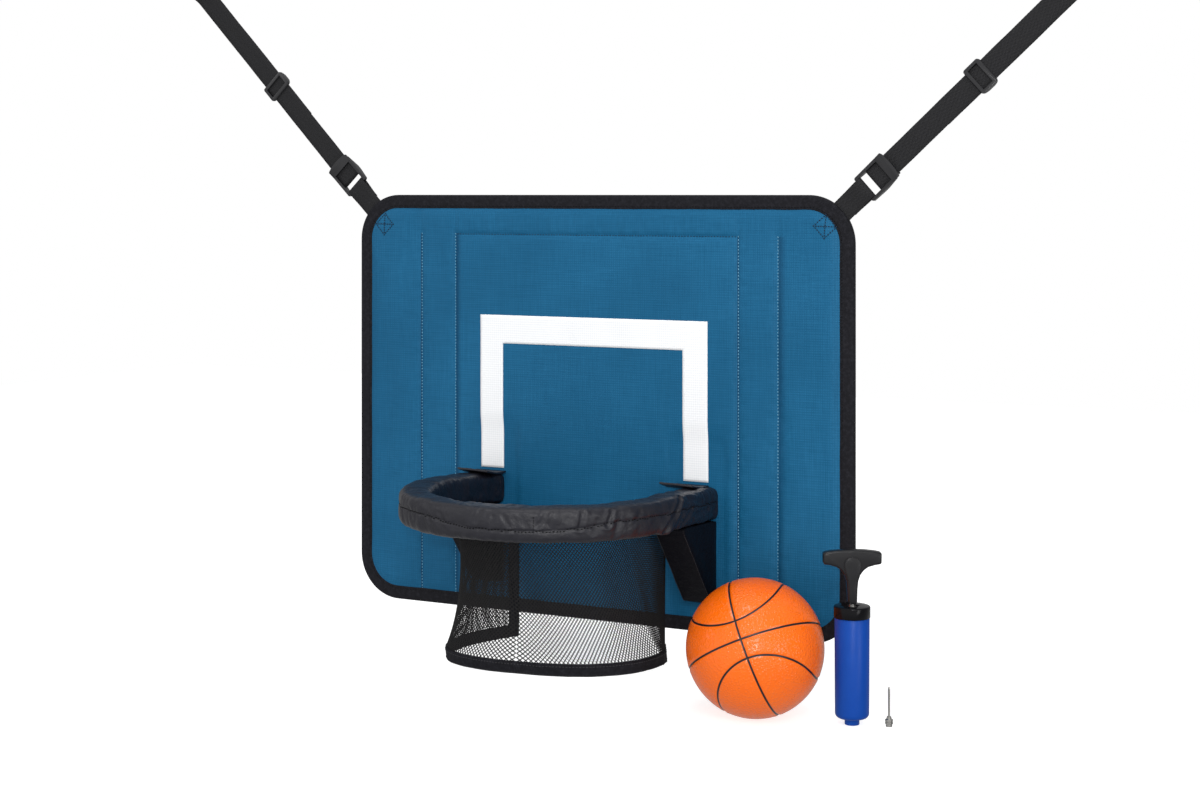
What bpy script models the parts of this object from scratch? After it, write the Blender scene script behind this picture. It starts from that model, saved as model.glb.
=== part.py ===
"""Hanging fabric basketball hoop set: backboard, rim and net, with its ball, hand pump and needle.

Sizes are in metres, +Z is up and the backboard faces -Y. The origin lies on the middle of the
backboard's flat back face. The straps and what is on them are modelled along their own +X, which
an empty turns to the slope at which each strap hangs.
"""
import math

import bmesh
import bpy
from mathutils import Vector

MM = 0.001
CLEARANCE = 0.3 * MM
WELD = 0.001 * MM

# Backboard
BOARD_WIDTH = 600 * MM
BOARD_HEIGHT = 458 * MM
BOARD_DEPTH = 8 * MM
BOARD_CORNER = 50 * MM
PANEL_THICKNESS = 2.5 * MM
BINDING_TAPE = 1.2 * MM
BINDING_COVER = 15 * MM
QUILT_GROOVE = 1.1 * MM
QUILT_SHOULDER = 14 * MM
CHANNEL_FROM_EDGE = 83 * MM
CHANNEL_WIDTH = 44.5 * MM
TOP_STITCH_BELOW_EDGE = 43.5 * MM
CORE_MARGIN = 3 * MM
CORE_CORNER = 12 * MM
STAY_WIDTH = 30 * MM
STAY_END_GAP = 4 * MM

# White target on the front
TARGET_FILM = 0.4 * MM
TARGET_WIDTH = 277 * MM
TARGET_TOP_Z = 96.7 * MM
TARGET_BAR = 31 * MM
TARGET_LEG = 29 * MM
TARGET_FOOT_GAP = 2.8 * MM

# Webbing straps: 0 is the middle of the board's corner arc
WEBBING_WIDTH = 24 * MM
WEBBING_THICKNESS = 1.5 * MM
STRAP_SLOPE_LEFT = 46
STRAP_SLOPE_RIGHT = 42.6
ANCHOR_START = 12 * MM
ANCHOR_DOUBLED_FROM = 60 * MM
LOCK_START = 33 * MM
LAYER_PITCH = 1.9 * MM
TAIL_LENGTH = 22 * MM
SLIDER_AT = 246 * MM
RETURN_BELOW_SLIDER = 56 * MM
LOOP_NECK_AT = 398 * MM
LOOP_NECK_LENGTH = 27 * MM
LOOP_WRAP = 120
POLE_RADIUS = 22 * MM

# Ladder lock buckle
HARDWARE_WIDTH = 31 * MM
LOCK_BAR_RADIUS = 1.9 * MM
LOCK_EYE_PITCH = 14.5 * MM
LOCK_TAB_PITCH = 13 * MM
LOCK_TAB_LENGTH = 11 * MM
LOCK_TAB_THICKNESS = 2.6 * MM
LOCK_TAB_LIFT = 2.4 * MM

# Tri-glide slider
SLIDER_LENGTH = 21 * MM
SLIDER_BAR = 4.4 * MM
SLIDER_MIDDLE_BAR = 4 * MM
SLIDER_BAR_DEPTH = 1.9 * MM

# Rim: its own frame starts on the fold line at the top of the tabs, a little right of the middle
HOOP_X = 3 * MM
HINGE_Z = -74.6 * MM
TAB_THICKNESS = 1.6 * MM
TAB_WIDTH = 38 * MM
TAB_LENGTH = 40 * MM
TAB_LIFT = 2 * MM
RIGHT_TAB_SHIFT = 12 * MM
RIM_SECTION_WIDTH = 35 * MM
RIM_SECTION_HEIGHT = 34.5 * MM
RIM_SECTION_POWER = 3.6
RIM_COVER_WALL = 1.6 * MM
RIM_HALF_WIDTH_AT_BOARD = 129 * MM
RIM_RADIUS = 134.5 * MM
RIM_ARM_LENGTH = 106 * MM
RIM_FRONT_FLATTEN = 0.975
RIM_SQUARE_END = 4 * MM
RIM_RISE = 4.5 * MM

# Wedges under the rim's ends
WEDGE_WIDTH = 32 * MM
WEDGE_REACH = 84 * MM
WEDGE_HEIGHT = 84 * MM
WEDGE_FOOT = 13 * MM
WEDGE_NOSE_RADIUS = 6 * MM
WEDGE_FOOT_RADIUS = 9 * MM
WEDGE_COVER_WALL = 1.2 * MM

# Net
NET_THICKNESS = 1.2 * MM
NET_HEM_THICKNESS = 2.4 * MM
NET_TUCK = 8 * MM
NET_DROP = 130 * MM
NET_HEM_WIDTH = 13 * MM
NET_BACK_GAP = 7 * MM
NET_BACK_HALF_WIDTH = 94 * MM
NET_FOOT_RADIUS = 112 * MM
NET_FOOT_FRONT = 167 * MM
NET_FOOT_POWER = 2.4
NET_FOOT_SKEW = 0.12
NET_WAIST = 24 * MM
NET_WAIST_AT = 0.12
NET_FOLD_DEPTH = 2.4 * MM
NET_FOLDS = 9
NET_FOOT_CENTRE = 0.47
NET_ARM_SHARE = 0.2

# Floor under the set, the ball and its grooves
FLOOR_Z = -290 * MM
BALL_RADIUS = 68.8 * MM
BALL_WALL = 2.6 * MM
BALL_X = 224.5 * MM
BALL_Y = -83 * MM
BALL_TURN = (69.8, -21.7, 19.1)
GROOVE_RADIUS = 1.3 * MM
SIDE_GROOVE_LATITUDE = 30.5
SIDE_GROOVE_SWING = 14.5
VALVE_RADIUS = 4 * MM
VALVE_LENGTH = 7 * MM
VALVE_HOLE_RADIUS = 1 * MM
VALVE_HOLE_DEPTH = 2.4 * MM

# Hand pump
PUMP_X = 319.6 * MM
PUMP_Y = -63.6 * MM
PUMP_TURN = 28
NOZZLE_HEIGHT = 6.4 * MM
NOZZLE_RADIUS = 7.3 * MM
NEEDLE_SOCKET_DEPTH = 6 * MM
AIR_HOLE_RADIUS = 1 * MM
BARREL_TOP = 104.7 * MM
BARREL_TOP_RADIUS = 17.3 * MM
BARREL_FOOT_RADIUS = 16.8 * MM
BARREL_BORE = 15.2 * MM
BARREL_FLOOR = 3.4 * MM
BARREL_FOOT_ROUND = 5 * MM
CHECK_VALVE_RADIUS = 4 * MM
CHECK_VALVE_THICKNESS = 1.2 * MM
CAP_RADIUS = 18 * MM
CAP_HEIGHT = 11.8 * MM
CAP_SKIRT = 8 * MM
CAP_RIM_ROUND = 1.5 * MM
ROD_RADIUS = 3.4 * MM
PISTON_LIFT = 2.2 * MM
PISTON_HEIGHT = 9 * MM
SEAL_RADIUS = 1.1 * MM
STEM_RADIUS = 5.2 * MM
STEM_LENGTH = 39 * MM
STEM_ABOVE_CAP = 1.6 * MM
STEM_SOCKET = 14 * MM
GRIP_LENGTH = 57.8 * MM
GRIP_HEIGHT = 14.5 * MM
GRIP_DEPTH = 13 * MM
GRIP_DROOP = 2.6 * MM
GRIP_EDGE = 2.5 * MM

# Inflating needle
NEEDLE_X = 354.7 * MM
NEEDLE_Y = -54.9 * MM
NEEDLE_TUBE_RADIUS = 1.2 * MM
NEEDLE_TUBE_BORE = 0.55 * MM
NEEDLE_LENGTH = 38.4 * MM
NEEDLE_BASE_RADIUS = 3.9 * MM
NEEDLE_THREAD_RADIUS = 3.1 * MM
NEEDLE_THREAD_LENGTH = 2.1 * MM
NEEDLE_COLLAR_LENGTH = 4.8 * MM
NEEDLE_CHAMFER = 0.6 * MM
NEEDLE_RING_GROOVE = 0.5 * MM
NEEDLE_NECK_RADIUS = 2.4 * MM
NEEDLE_NECK_LENGTH = 1.7 * MM
NEEDLE_TUBE_INSET = 5.8 * MM

# Places worked out from the sizes above
FRONT_Y = -BOARD_DEPTH
MIDDLE_Y = -BOARD_DEPTH / 2
PANEL_GAP = BOARD_DEPTH - 2 * PANEL_THICKNESS
FILLING_THICKNESS = PANEL_GAP - 2 * CLEARANCE
BINDING_RECESS = BINDING_TAPE + CLEARANCE
STITCHED_TOP_Z = BOARD_HEIGHT / 2 - TOP_STITCH_BELOW_EDGE
CHANNEL_OUTER_X = BOARD_WIDTH / 2 - CHANNEL_FROM_EDGE
CHANNEL_INNER_X = CHANNEL_OUTER_X - CHANNEL_WIDTH
WEBBING_HALF = WEBBING_THICKNESS / 2
RAIL_INNER = WEBBING_WIDTH / 2 + CLEARANCE
RAIL_WIDTH = HARDWARE_WIDTH / 2 - RAIL_INNER
LOCK_EYE_AT = BOARD_CORNER + LOCK_START
LOCK_LADDER_AT = LOCK_EYE_AT + LOCK_EYE_PITCH
LOCK_WRAP_RADIUS = LOCK_BAR_RADIUS + CLEARANCE + WEBBING_HALF
SLIDER_BACK = LAYER_PITCH + WEBBING_HALF + CLEARANCE
RIM_TOP = -TAB_THICKNESS - CLEARANCE
RIM_MIDDLE = RIM_TOP - RIM_SECTION_HEIGHT / 2
RIM_BOTTOM = RIM_TOP - RIM_SECTION_HEIGHT
NEEDLE_SOCKET = NEEDLE_THREAD_RADIUS + CLEARANCE
PISTON_FOOT = NOZZLE_HEIGHT + BARREL_FLOOR + PISTON_LIFT
PISTON_RADIUS = BARREL_BORE - CLEARANCE
STEM_FOOT = BARREL_TOP + CAP_HEIGHT + STEM_ABOVE_CAP
GRIP_MIDDLE = STEM_FOOT + STEM_LENGTH + GRIP_HEIGHT / 2


# Scene, materials and the bench tools that every piece uses

def start_scene():
    """Empty the scene and make one collection for the pieces and one for the cutters."""
    for leftover in list(bpy.data.objects):
        bpy.data.objects.remove(leftover)
    collections = []
    for name in ("hanging_hoop_set", "cutters"):
        collection = bpy.data.collections.new(name)
        bpy.context.scene.collection.children.link(collection)
        collections.append(collection)
    return collections


PIECES, CUTTERS = start_scene()


def make_material(name, colour, roughness, metallic=0.0):
    material = bpy.data.materials.new(name)
    material.use_nodes = True
    shader = material.node_tree.nodes["Principled BSDF"]
    shader.inputs["Base Color"].default_value = (*colour, 1.0)
    shader.inputs["Roughness"].default_value = roughness
    shader.inputs["Metallic"].default_value = metallic
    return material


BLUE_RIPSTOP = make_material("blue_ripstop", (0.02, 0.13, 0.29), 0.75)
BLACK_FABRIC = make_material("black_fabric", (0.014, 0.014, 0.017), 0.8)
BLACK_WEBBING = make_material("black_webbing", (0.018, 0.018, 0.02), 0.7)
WHITE_FILM = make_material("white_film", (0.85, 0.86, 0.88), 0.5)
WHITE_FOAM = make_material("white_foam", (0.8, 0.8, 0.78), 0.9)
STAY_PLASTIC = make_material("stay_plastic", (0.6, 0.6, 0.55), 0.5)
BLACK_PLASTIC = make_material("black_plastic", (0.012, 0.012, 0.014), 0.35)
BLACK_MESH = make_material("black_mesh", (0.01, 0.01, 0.012), 0.85)
ORANGE_VINYL = make_material("orange_vinyl", (0.85, 0.16, 0.02), 0.45)
BLUE_PLASTIC = make_material("blue_plastic", (0.01, 0.06, 0.42), 0.3)
BLACK_RUBBER = make_material("black_rubber", (0.02, 0.02, 0.02), 0.7)
STEEL = make_material("steel", (0.6, 0.6, 0.58), 0.25, 1.0)


def add_object(name, data):
    thing = bpy.data.objects.new(name, data)
    PIECES.objects.link(thing)
    return thing


def add_empty(name, location, turn=(0, 0, 0), parent=None):
    """An empty that carries pieces; turn is in degrees."""
    empty = add_object(name, None)
    empty.location = location
    empty.rotation_euler = [math.radians(angle) for angle in turn]
    empty.parent = parent
    return empty


def place(thing, location=(0, 0, 0), turn=(0, 0, 0), parent=None):
    thing.location = location
    thing.rotation_euler = [math.radians(angle) for angle in turn]
    thing.parent = parent
    return thing


def finish(thing, material, sharp_angle=35):
    """Give a piece its material and shade its round faces smooth."""
    thing.data.materials.clear()
    thing.data.materials.append(material)
    thing.data.shade_smooth()
    thing.data.set_sharp_from_angle(angle=math.radians(sharp_angle))
    return thing


def hide_cutter(thing):
    for collection in list(thing.users_collection):
        collection.objects.unlink(thing)
    CUTTERS.objects.link(thing)
    thing.hide_render = True
    thing.display_type = "WIRE"
    return thing


def combine(thing, tool, operation):
    """Cut, join or intersect a mesh piece with a tool, which becomes a cutter that follows it."""
    tool.parent = thing
    modifier = thing.modifiers.new(operation.lower(), "BOOLEAN")
    modifier.operation = operation
    modifier.solver = "EXACT"
    modifier.object = hide_cutter(tool)
    return thing


def as_mesh(curve_object):
    """Turn a curve object into a mesh object, with its caps welded on and its faces pointing out."""
    bpy.context.view_layer.update()
    name = curve_object.name
    evaluated = curve_object.evaluated_get(bpy.context.evaluated_depsgraph_get())
    mesh = bpy.data.meshes.new_from_object(evaluated)
    work = bmesh.new()
    work.from_mesh(mesh)
    bmesh.ops.remove_doubles(work, verts=work.verts, dist=WELD)
    bmesh.ops.recalc_face_normals(work, faces=work.faces)
    work.to_mesh(mesh)
    work.free()
    solid = add_object(name + "_mesh", mesh)
    solid.matrix_world = curve_object.matrix_world
    bpy.data.objects.remove(curve_object)
    solid.name = name
    return solid


def outline_solid(name, outlines, depth):
    """A flat outline with any holes, in the local XY plane, depth thick about that plane."""
    curve = bpy.data.curves.new(name, "CURVE")
    curve.dimensions = "2D"
    curve.fill_mode = "BOTH"
    curve.extrude = depth / 2
    for outline in outlines:
        spline = curve.splines.new("POLY")
        spline.points.add(len(outline) - 1)
        for point, (x, y) in zip(spline.points, outline):
            point.co = (x, y, 0, 1)
        spline.use_cyclic_u = True
    return as_mesh(add_object(name, curve))


def apply_place(thing):
    """Move a mesh object's place into its mesh, which leaves the object at the origin."""
    bpy.context.view_layer.update()
    thing.data.transform(thing.matrix_world)
    thing.location = (0, 0, 0)
    thing.rotation_euler = (0, 0, 0)
    return thing


def upright_plate(name, outlines, y_back, y_front):
    """A plate parallel to the board, its outlines given as (x, z), from y_back to y_front."""
    plate = outline_solid(name, outlines, abs(y_back - y_front))
    place(plate, (0, (y_back + y_front) / 2, 0), (90, 0, 0))
    return apply_place(plate)


def side_plate(name, outlines, width, middle_x=0.0):
    """A plate across X, its outlines given as (y, z)."""
    plate = outline_solid(name, outlines, width)
    place(plate, (middle_x, 0, 0), (90, 0, 90))
    return apply_place(plate)


def section_curve(name, section):
    """A closed outline that sweep and ring carry along a path."""
    profile = bpy.data.curves.new(name + "_section", "CURVE")
    profile.dimensions = "2D"
    profile.fill_mode = "NONE"
    spline = profile.splines.new("POLY")
    spline.points.add(len(section) - 1)
    for point, (across, up) in zip(spline.points, section):
        point.co = (across, up, 0, 1)
    spline.use_cyclic_u = True
    return add_object(name + "_section", profile)


def sweep(name, route, section):
    """A solid bar of the given section along an open route; the section's second axis keeps to +Z."""
    profile = section_curve(name, section)
    path = bpy.data.curves.new(name, "CURVE")
    path.dimensions = "3D"
    path.twist_mode = "Z_UP"
    path.bevel_mode = "OBJECT"
    path.bevel_object = profile
    path.use_fill_caps = True
    track = path.splines.new("POLY")
    track.points.add(len(route) - 1)
    for point, place_at in zip(track.points, route):
        point.co = (*place_at, 1)
    bar = as_mesh(add_object(name, path))
    bpy.data.objects.remove(profile)
    return bar


def ring(name, outline, section):
    """A closed ring round a flat outline; the section is given as (inwards, up from the outline)."""
    profile = section_curve(name, section)
    path = bpy.data.curves.new(name, "CURVE")
    path.dimensions = "2D"
    path.fill_mode = "NONE"
    path.bevel_mode = "OBJECT"
    path.bevel_object = profile
    track = path.splines.new("POLY")
    track.points.add(len(outline) - 1)
    for point, (x, y) in zip(track.points, outline):
        point.co = (x, y, 0, 1)
    track.use_cyclic_u = True
    hoop = as_mesh(add_object(name, path))
    bpy.data.objects.remove(profile)
    return hoop


def turned(name, profile, steps, closed=True):
    """A solid of revolution about Z from (radius, height) points that run down its outer side."""
    mesh = bpy.data.meshes.new(name)
    count = len(profile)
    edges = [(index, index + 1) for index in range(count - 1)]
    if closed:
        edges.append((count - 1, 0))
    mesh.from_pydata([(radius, 0, height) for radius, height in profile], edges, [])
    thing = add_object(name, mesh)
    screw = thing.modifiers.new("turn", "SCREW")
    screw.steps = steps
    screw.render_steps = steps
    screw.use_merge_vertices = True
    screw.merge_threshold = 0.01 * MM
    screw.use_smooth_shade = True
    return thing


def block(name, low, high):
    """A box between two corners."""
    work = bmesh.new()
    bmesh.ops.create_cube(work, size=1)
    low, high = Vector(low), Vector(high)
    bmesh.ops.scale(work, vec=high - low, verts=work.verts)
    bmesh.ops.translate(work, vec=(low + high) / 2, verts=work.verts)
    mesh = bpy.data.meshes.new(name)
    work.to_mesh(mesh)
    work.free()
    return add_object(name, mesh)


def rod(name, radius, low, high, sides, along="Z", at=(0, 0)):
    """A round bar along one axis from low to high, its centre line at the other two coordinates."""
    work = bmesh.new()
    length = high - low
    bmesh.ops.create_cone(work, cap_ends=True, segments=sides, radius1=radius, radius2=radius, depth=length)
    mesh = bpy.data.meshes.new(name)
    work.to_mesh(mesh)
    work.free()
    thing = add_object(name, mesh)
    middle = (low + high) / 2
    if along == "X":
        place(thing, (middle, *at), (0, 90, 0))
    else:
        place(thing, (*at, middle))
    return apply_place(thing)


def arc(centre, radius, start, end, steps, squash=1.0):
    """Points on an arc in degrees, with squash on its second coordinate."""
    points = []
    for index in range(steps + 1):
        angle = math.radians(start + (end - start) * index / steps)
        points.append((centre[0] + radius * math.cos(angle), centre[1] + squash * radius * math.sin(angle)))
    return points


def rounded_rectangle(width, height, radius, centre=(0.0, 0.0), steps=6):
    points = []
    for quarter in range(4):
        angle = 90 * quarter
        side_x = 1 if quarter in (0, 3) else -1
        side_y = 1 if quarter in (0, 1) else -1
        corner = (centre[0] + side_x * (width / 2 - radius), centre[1] + side_y * (height / 2 - radius))
        points += arc(corner, radius, angle, angle + 90, steps)
    return points


def rounded_corners(corners, steps=5):
    """Round each (x, y, radius) corner of a polygon that runs anticlockwise and is convex."""
    points = []
    count = len(corners)
    for index, (x, y, radius) in enumerate(corners):
        here = Vector((x, y))
        to_last = (Vector(corners[index - 1][:2]) - here).normalized()
        to_next = (Vector(corners[(index + 1) % count][:2]) - here).normalized()
        half = to_last.angle(to_next) / 2
        centre = here + (to_last + to_next).normalized() * (radius / math.sin(half))
        first = here + to_last * (radius / math.tan(half)) - centre
        last = here + to_next * (radius / math.tan(half)) - centre
        start = math.degrees(math.atan2(first.y, first.x))
        sweep_angle = math.degrees(first.angle_signed(last)) * -1
        points += arc(centre, radius, start, start + sweep_angle, steps)
    return points


def inset_corners(corners, distance):
    """Move every side of an anticlockwise convex polygon inwards, with its corner radii to suit."""
    moved = []
    count = len(corners)
    for index, (x, y, radius) in enumerate(corners):
        here = Vector((x, y))
        to_last = (Vector(corners[index - 1][:2]) - here).normalized()
        to_next = (Vector(corners[(index + 1) % count][:2]) - here).normalized()
        half = to_last.angle(to_next) / 2
        inward = (to_last + to_next).normalized() * (distance / math.sin(half))
        moved.append((x + inward.x, y + inward.y, max(radius - distance, distance)))
    return moved


# Backboard

def board_outline(inset=0.0):
    """The board's outline as (x, z), moved inwards by inset."""
    width, height = BOARD_WIDTH - 2 * inset, BOARD_HEIGHT - 2 * inset
    return rounded_rectangle(width, height, BOARD_CORNER - inset, steps=8)


def quilted_front(x):
    """How far the front face lies behind its highest level at x: a groove at each sewn line."""
    nearest = min(abs(abs(x) - line) for line in (CHANNEL_INNER_X, CHANNEL_OUTER_X))
    rise = min(nearest / QUILT_SHOULDER, 1.0)
    return QUILT_GROOVE * (1 - math.sin(rise * math.pi / 2))


def edge_ring(name, outer_inset, inner_inset, y_back, y_front):
    outlines = [board_outline(outer_inset), board_outline(inner_inset)]
    return upright_plate(name, outlines, y_back, y_front)


def make_panel_blank(name, y_back, y_front):
    return upright_plate(name, [board_outline(BINDING_RECESS)], y_back, y_front)


def make_back_panel():
    panel = make_panel_blank("back_panel", 0, -PANEL_THICKNESS)
    lap = edge_ring("back_lap", -BINDING_COVER, BINDING_COVER + CLEARANCE, BINDING_TAPE, -BINDING_RECESS)
    return finish(combine(panel, lap, "DIFFERENCE"), BLUE_RIPSTOP)


def make_front_panel():
    """A thin quilted slab: its face rises between the sewn lines and drops under the binding."""
    half_width = BOARD_WIDTH / 2
    stations = [-half_width]
    for side in (-1, 1):
        lines = sorted(side * line for line in (CHANNEL_INNER_X, CHANNEL_OUTER_X))
        for line in lines:
            for share in (-1, -0.66, -0.33, 0, 0.33, 0.66, 1):
                stations.append(line + share * QUILT_SHOULDER)
    stations.append(half_width)
    inner_y = FRONT_Y + PANEL_THICKNESS
    face = [(x, FRONT_Y + quilted_front(x)) for x in stations]
    outline = face + [(half_width, inner_y), (-half_width, inner_y)]
    slab = outline_solid("front_panel", [outline], BOARD_HEIGHT)
    blank = make_panel_blank("front_blank", inner_y + BINDING_COVER, FRONT_Y - BINDING_COVER)
    combine(slab, blank, "INTERSECT")
    lap_y = FRONT_Y + BINDING_RECESS
    lap = edge_ring("front_lap", -BINDING_COVER, BINDING_COVER + CLEARANCE, lap_y, FRONT_Y - BINDING_TAPE)
    combine(slab, lap, "DIFFERENCE")
    seam_at = (FRONT_Y, STITCHED_TOP_Z)
    seam = rod("top_seam", QUILT_GROOVE, -CHANNEL_INNER_X, CHANNEL_INNER_X, 8, "X", seam_at)
    return finish(combine(slab, seam, "DIFFERENCE"), BLUE_RIPSTOP)


def make_edge_binding(strap_slopes):
    """Tape folded round the board's edge, with a slit where each strap comes out."""
    inner = BOARD_DEPTH - BINDING_TAPE
    fold = [(0, 0), (BINDING_COVER, 0), (BINDING_COVER, BINDING_TAPE), (BINDING_TAPE, BINDING_TAPE)]
    fold += [(BINDING_TAPE, inner), (BINDING_COVER, inner), (BINDING_COVER, BOARD_DEPTH), (0, BOARD_DEPTH)]
    tape = ring("edge_binding", board_outline(), fold)
    apply_place(place(tape, turn=(90, 0, 0)))
    slit_width = WEBBING_WIDTH / 2 + CLEARANCE
    slit_depth = WEBBING_HALF + CLEARANCE
    for side, slope in strap_slopes:
        low = (BOARD_CORNER / 2, -slit_depth, -slit_width)
        high = (2 * BOARD_CORNER, slit_depth, slit_width)
        slit = block(side + "_slit", low, high)
        place(slit, *strap_place(side, slope))
        combine(tape, slit, "DIFFERENCE")
    return finish(tape, BLACK_FABRIC)


def make_core_board():
    """The stiffener between the inner sewn lines, under the top seam."""
    top = STITCHED_TOP_Z - CORE_MARGIN
    bottom = -BOARD_HEIGHT / 2 + BINDING_COVER
    width = 2 * (CHANNEL_INNER_X - CORE_MARGIN)
    outline = rounded_rectangle(width, top - bottom, CORE_CORNER, (0, (top + bottom) / 2))
    half = FILLING_THICKNESS / 2
    return finish(upright_plate("core_board", [outline], MIDDLE_Y + half, MIDDLE_Y - half), STAY_PLASTIC)


def make_stay(side, sign):
    """A flat stay in the sewn channel, with round ends."""
    middle_x = sign * (CHANNEL_INNER_X + CHANNEL_OUTER_X) / 2
    length = BOARD_HEIGHT - 2 * BINDING_COVER - 2 * STAY_END_GAP
    outline = rounded_rectangle(STAY_WIDTH, length, STAY_WIDTH / 2 - WELD, (middle_x, 0))
    half = FILLING_THICKNESS / 2
    stay = upright_plate("stay_" + side, [outline], MIDDLE_Y + half, MIDDLE_Y - half)
    return finish(stay, STAY_PLASTIC)


def make_target():
    """The white outline above the rim: a bar and two legs that end at the rim's tabs."""
    outer_x = TARGET_WIDTH / 2
    inner_x = outer_x - TARGET_LEG
    foot_z = HINGE_Z + TARGET_FOOT_GAP
    bar_z = TARGET_TOP_Z - TARGET_BAR
    outline = [(-outer_x, foot_z), (-inner_x, foot_z), (-inner_x, bar_z), (inner_x, bar_z),
               (inner_x, foot_z), (outer_x, foot_z), (outer_x, TARGET_TOP_Z), (-outer_x, TARGET_TOP_Z)]
    back = FRONT_Y - CLEARANCE
    return finish(upright_plate("target_film", [outline], back, back - TARGET_FILM), WHITE_FILM)


# Straps and their hardware, along local +X, with the front towards local -Y

def strap_place(side, slope):
    """Where a strap's own frame lies: at the middle of its corner's arc, turned to its slope."""
    corner_x = BOARD_WIDTH / 2 - BOARD_CORNER
    corner_z = BOARD_HEIGHT / 2 - BOARD_CORNER
    if side == "left":
        return (-corner_x, MIDDLE_Y, corner_z), (0, slope - 180, 0)
    return (corner_x, MIDDLE_Y, corner_z), (0, -slope, 0)


def make_anchor_strap(side, frame):
    """The short strap: sewn into the corner, doubled, with its eye round the buckle's lower bar."""
    eye_bore = LOCK_BAR_RADIUS + CLEARANCE
    eye_outer = eye_bore + WEBBING_THICKNESS
    single, double = WEBBING_HALF, WEBBING_THICKNESS
    meet = math.degrees(math.asin(double / eye_outer))
    ramp = ANCHOR_DOUBLED_FROM + 2 * WEBBING_THICKNESS
    eye = (LOCK_EYE_AT, 0)
    outline = [(ANCHOR_START, -single), (ANCHOR_DOUBLED_FROM, -single), (ramp, -double)]
    outline += arc(eye, eye_outer, meet - 180, 180 - meet, 14)
    outline += [(ramp, double), (ANCHOR_DOUBLED_FROM, single), (ANCHOR_START, single)]
    strap = outline_solid("anchor_strap_" + side, [outline, arc(eye, eye_bore, 0, 330, 11)], WEBBING_WIDTH)
    return place(finish(strap, BLACK_WEBBING), parent=frame)


def hanging_route():
    """The long strap's centre line: tail, turn at the buckle, front layer, pole loop, back layer."""
    back = LOCK_BAR_RADIUS + CLEARANCE + WEBBING_HALF
    route = [(LOCK_LADDER_AT + TAIL_LENGTH, 2 * back, 0)]
    route += [(x, y, 0) for x, y in arc((LOCK_LADDER_AT, back), LOCK_WRAP_RADIUS, 90, 270, 10)]
    centre = (LOOP_NECK_AT + LOOP_NECK_LENGTH + POLE_RADIUS / 2, LAYER_PITCH / 2)
    loop_radius = POLE_RADIUS + WEBBING_HALF
    loop = arc(centre, loop_radius, -LOOP_WRAP, LOOP_WRAP, 20)
    route += neck_curve((LOOP_NECK_AT, 0), loop[0], 90 - LOOP_WRAP)
    route += [(x, y, 0) for x, y in loop]
    route += reversed(neck_curve((LOOP_NECK_AT, LAYER_PITCH), loop[-1], LOOP_WRAP - 90))
    route.append((SLIDER_AT - RETURN_BELOW_SLIDER, LAYER_PITCH, 0))
    return route


def neck_curve(start, end, end_angle):
    """A smooth run from a layer of the strap, along +X, onto the loop at the loop's own angle."""
    pull = math.hypot(end[0] - start[0], end[1] - start[1])
    leave = (pull, 0)
    arrive = (pull * math.cos(math.radians(end_angle)), pull * math.sin(math.radians(end_angle)))
    points = []
    steps = 6
    for index in range(steps):
        t = index / steps
        weights = (2 * t**3 - 3 * t**2 + 1, t**3 - 2 * t**2 + t, -2 * t**3 + 3 * t**2, t**3 - t**2)
        x, y = (weights[0] * start[axis] + weights[1] * leave[axis] + weights[2] * end[axis]
                + weights[3] * arrive[axis] for axis in (0, 1))
        points.append((x, y, 0))
    return points


def make_hanging_strap(side, frame):
    half, width = WEBBING_HALF, WEBBING_WIDTH / 2
    section = [(-half, -width), (half, -width), (half, width), (-half, width)]
    strap = sweep("hanging_strap_" + side, hanging_route(), section)
    return place(finish(strap, BLACK_WEBBING), parent=frame)


def across_webbing(name, outline, width):
    """A bar across the webbing: its outline is given as (x, y) and its width lies along Z."""
    return outline_solid(name, [outline], width)


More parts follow.
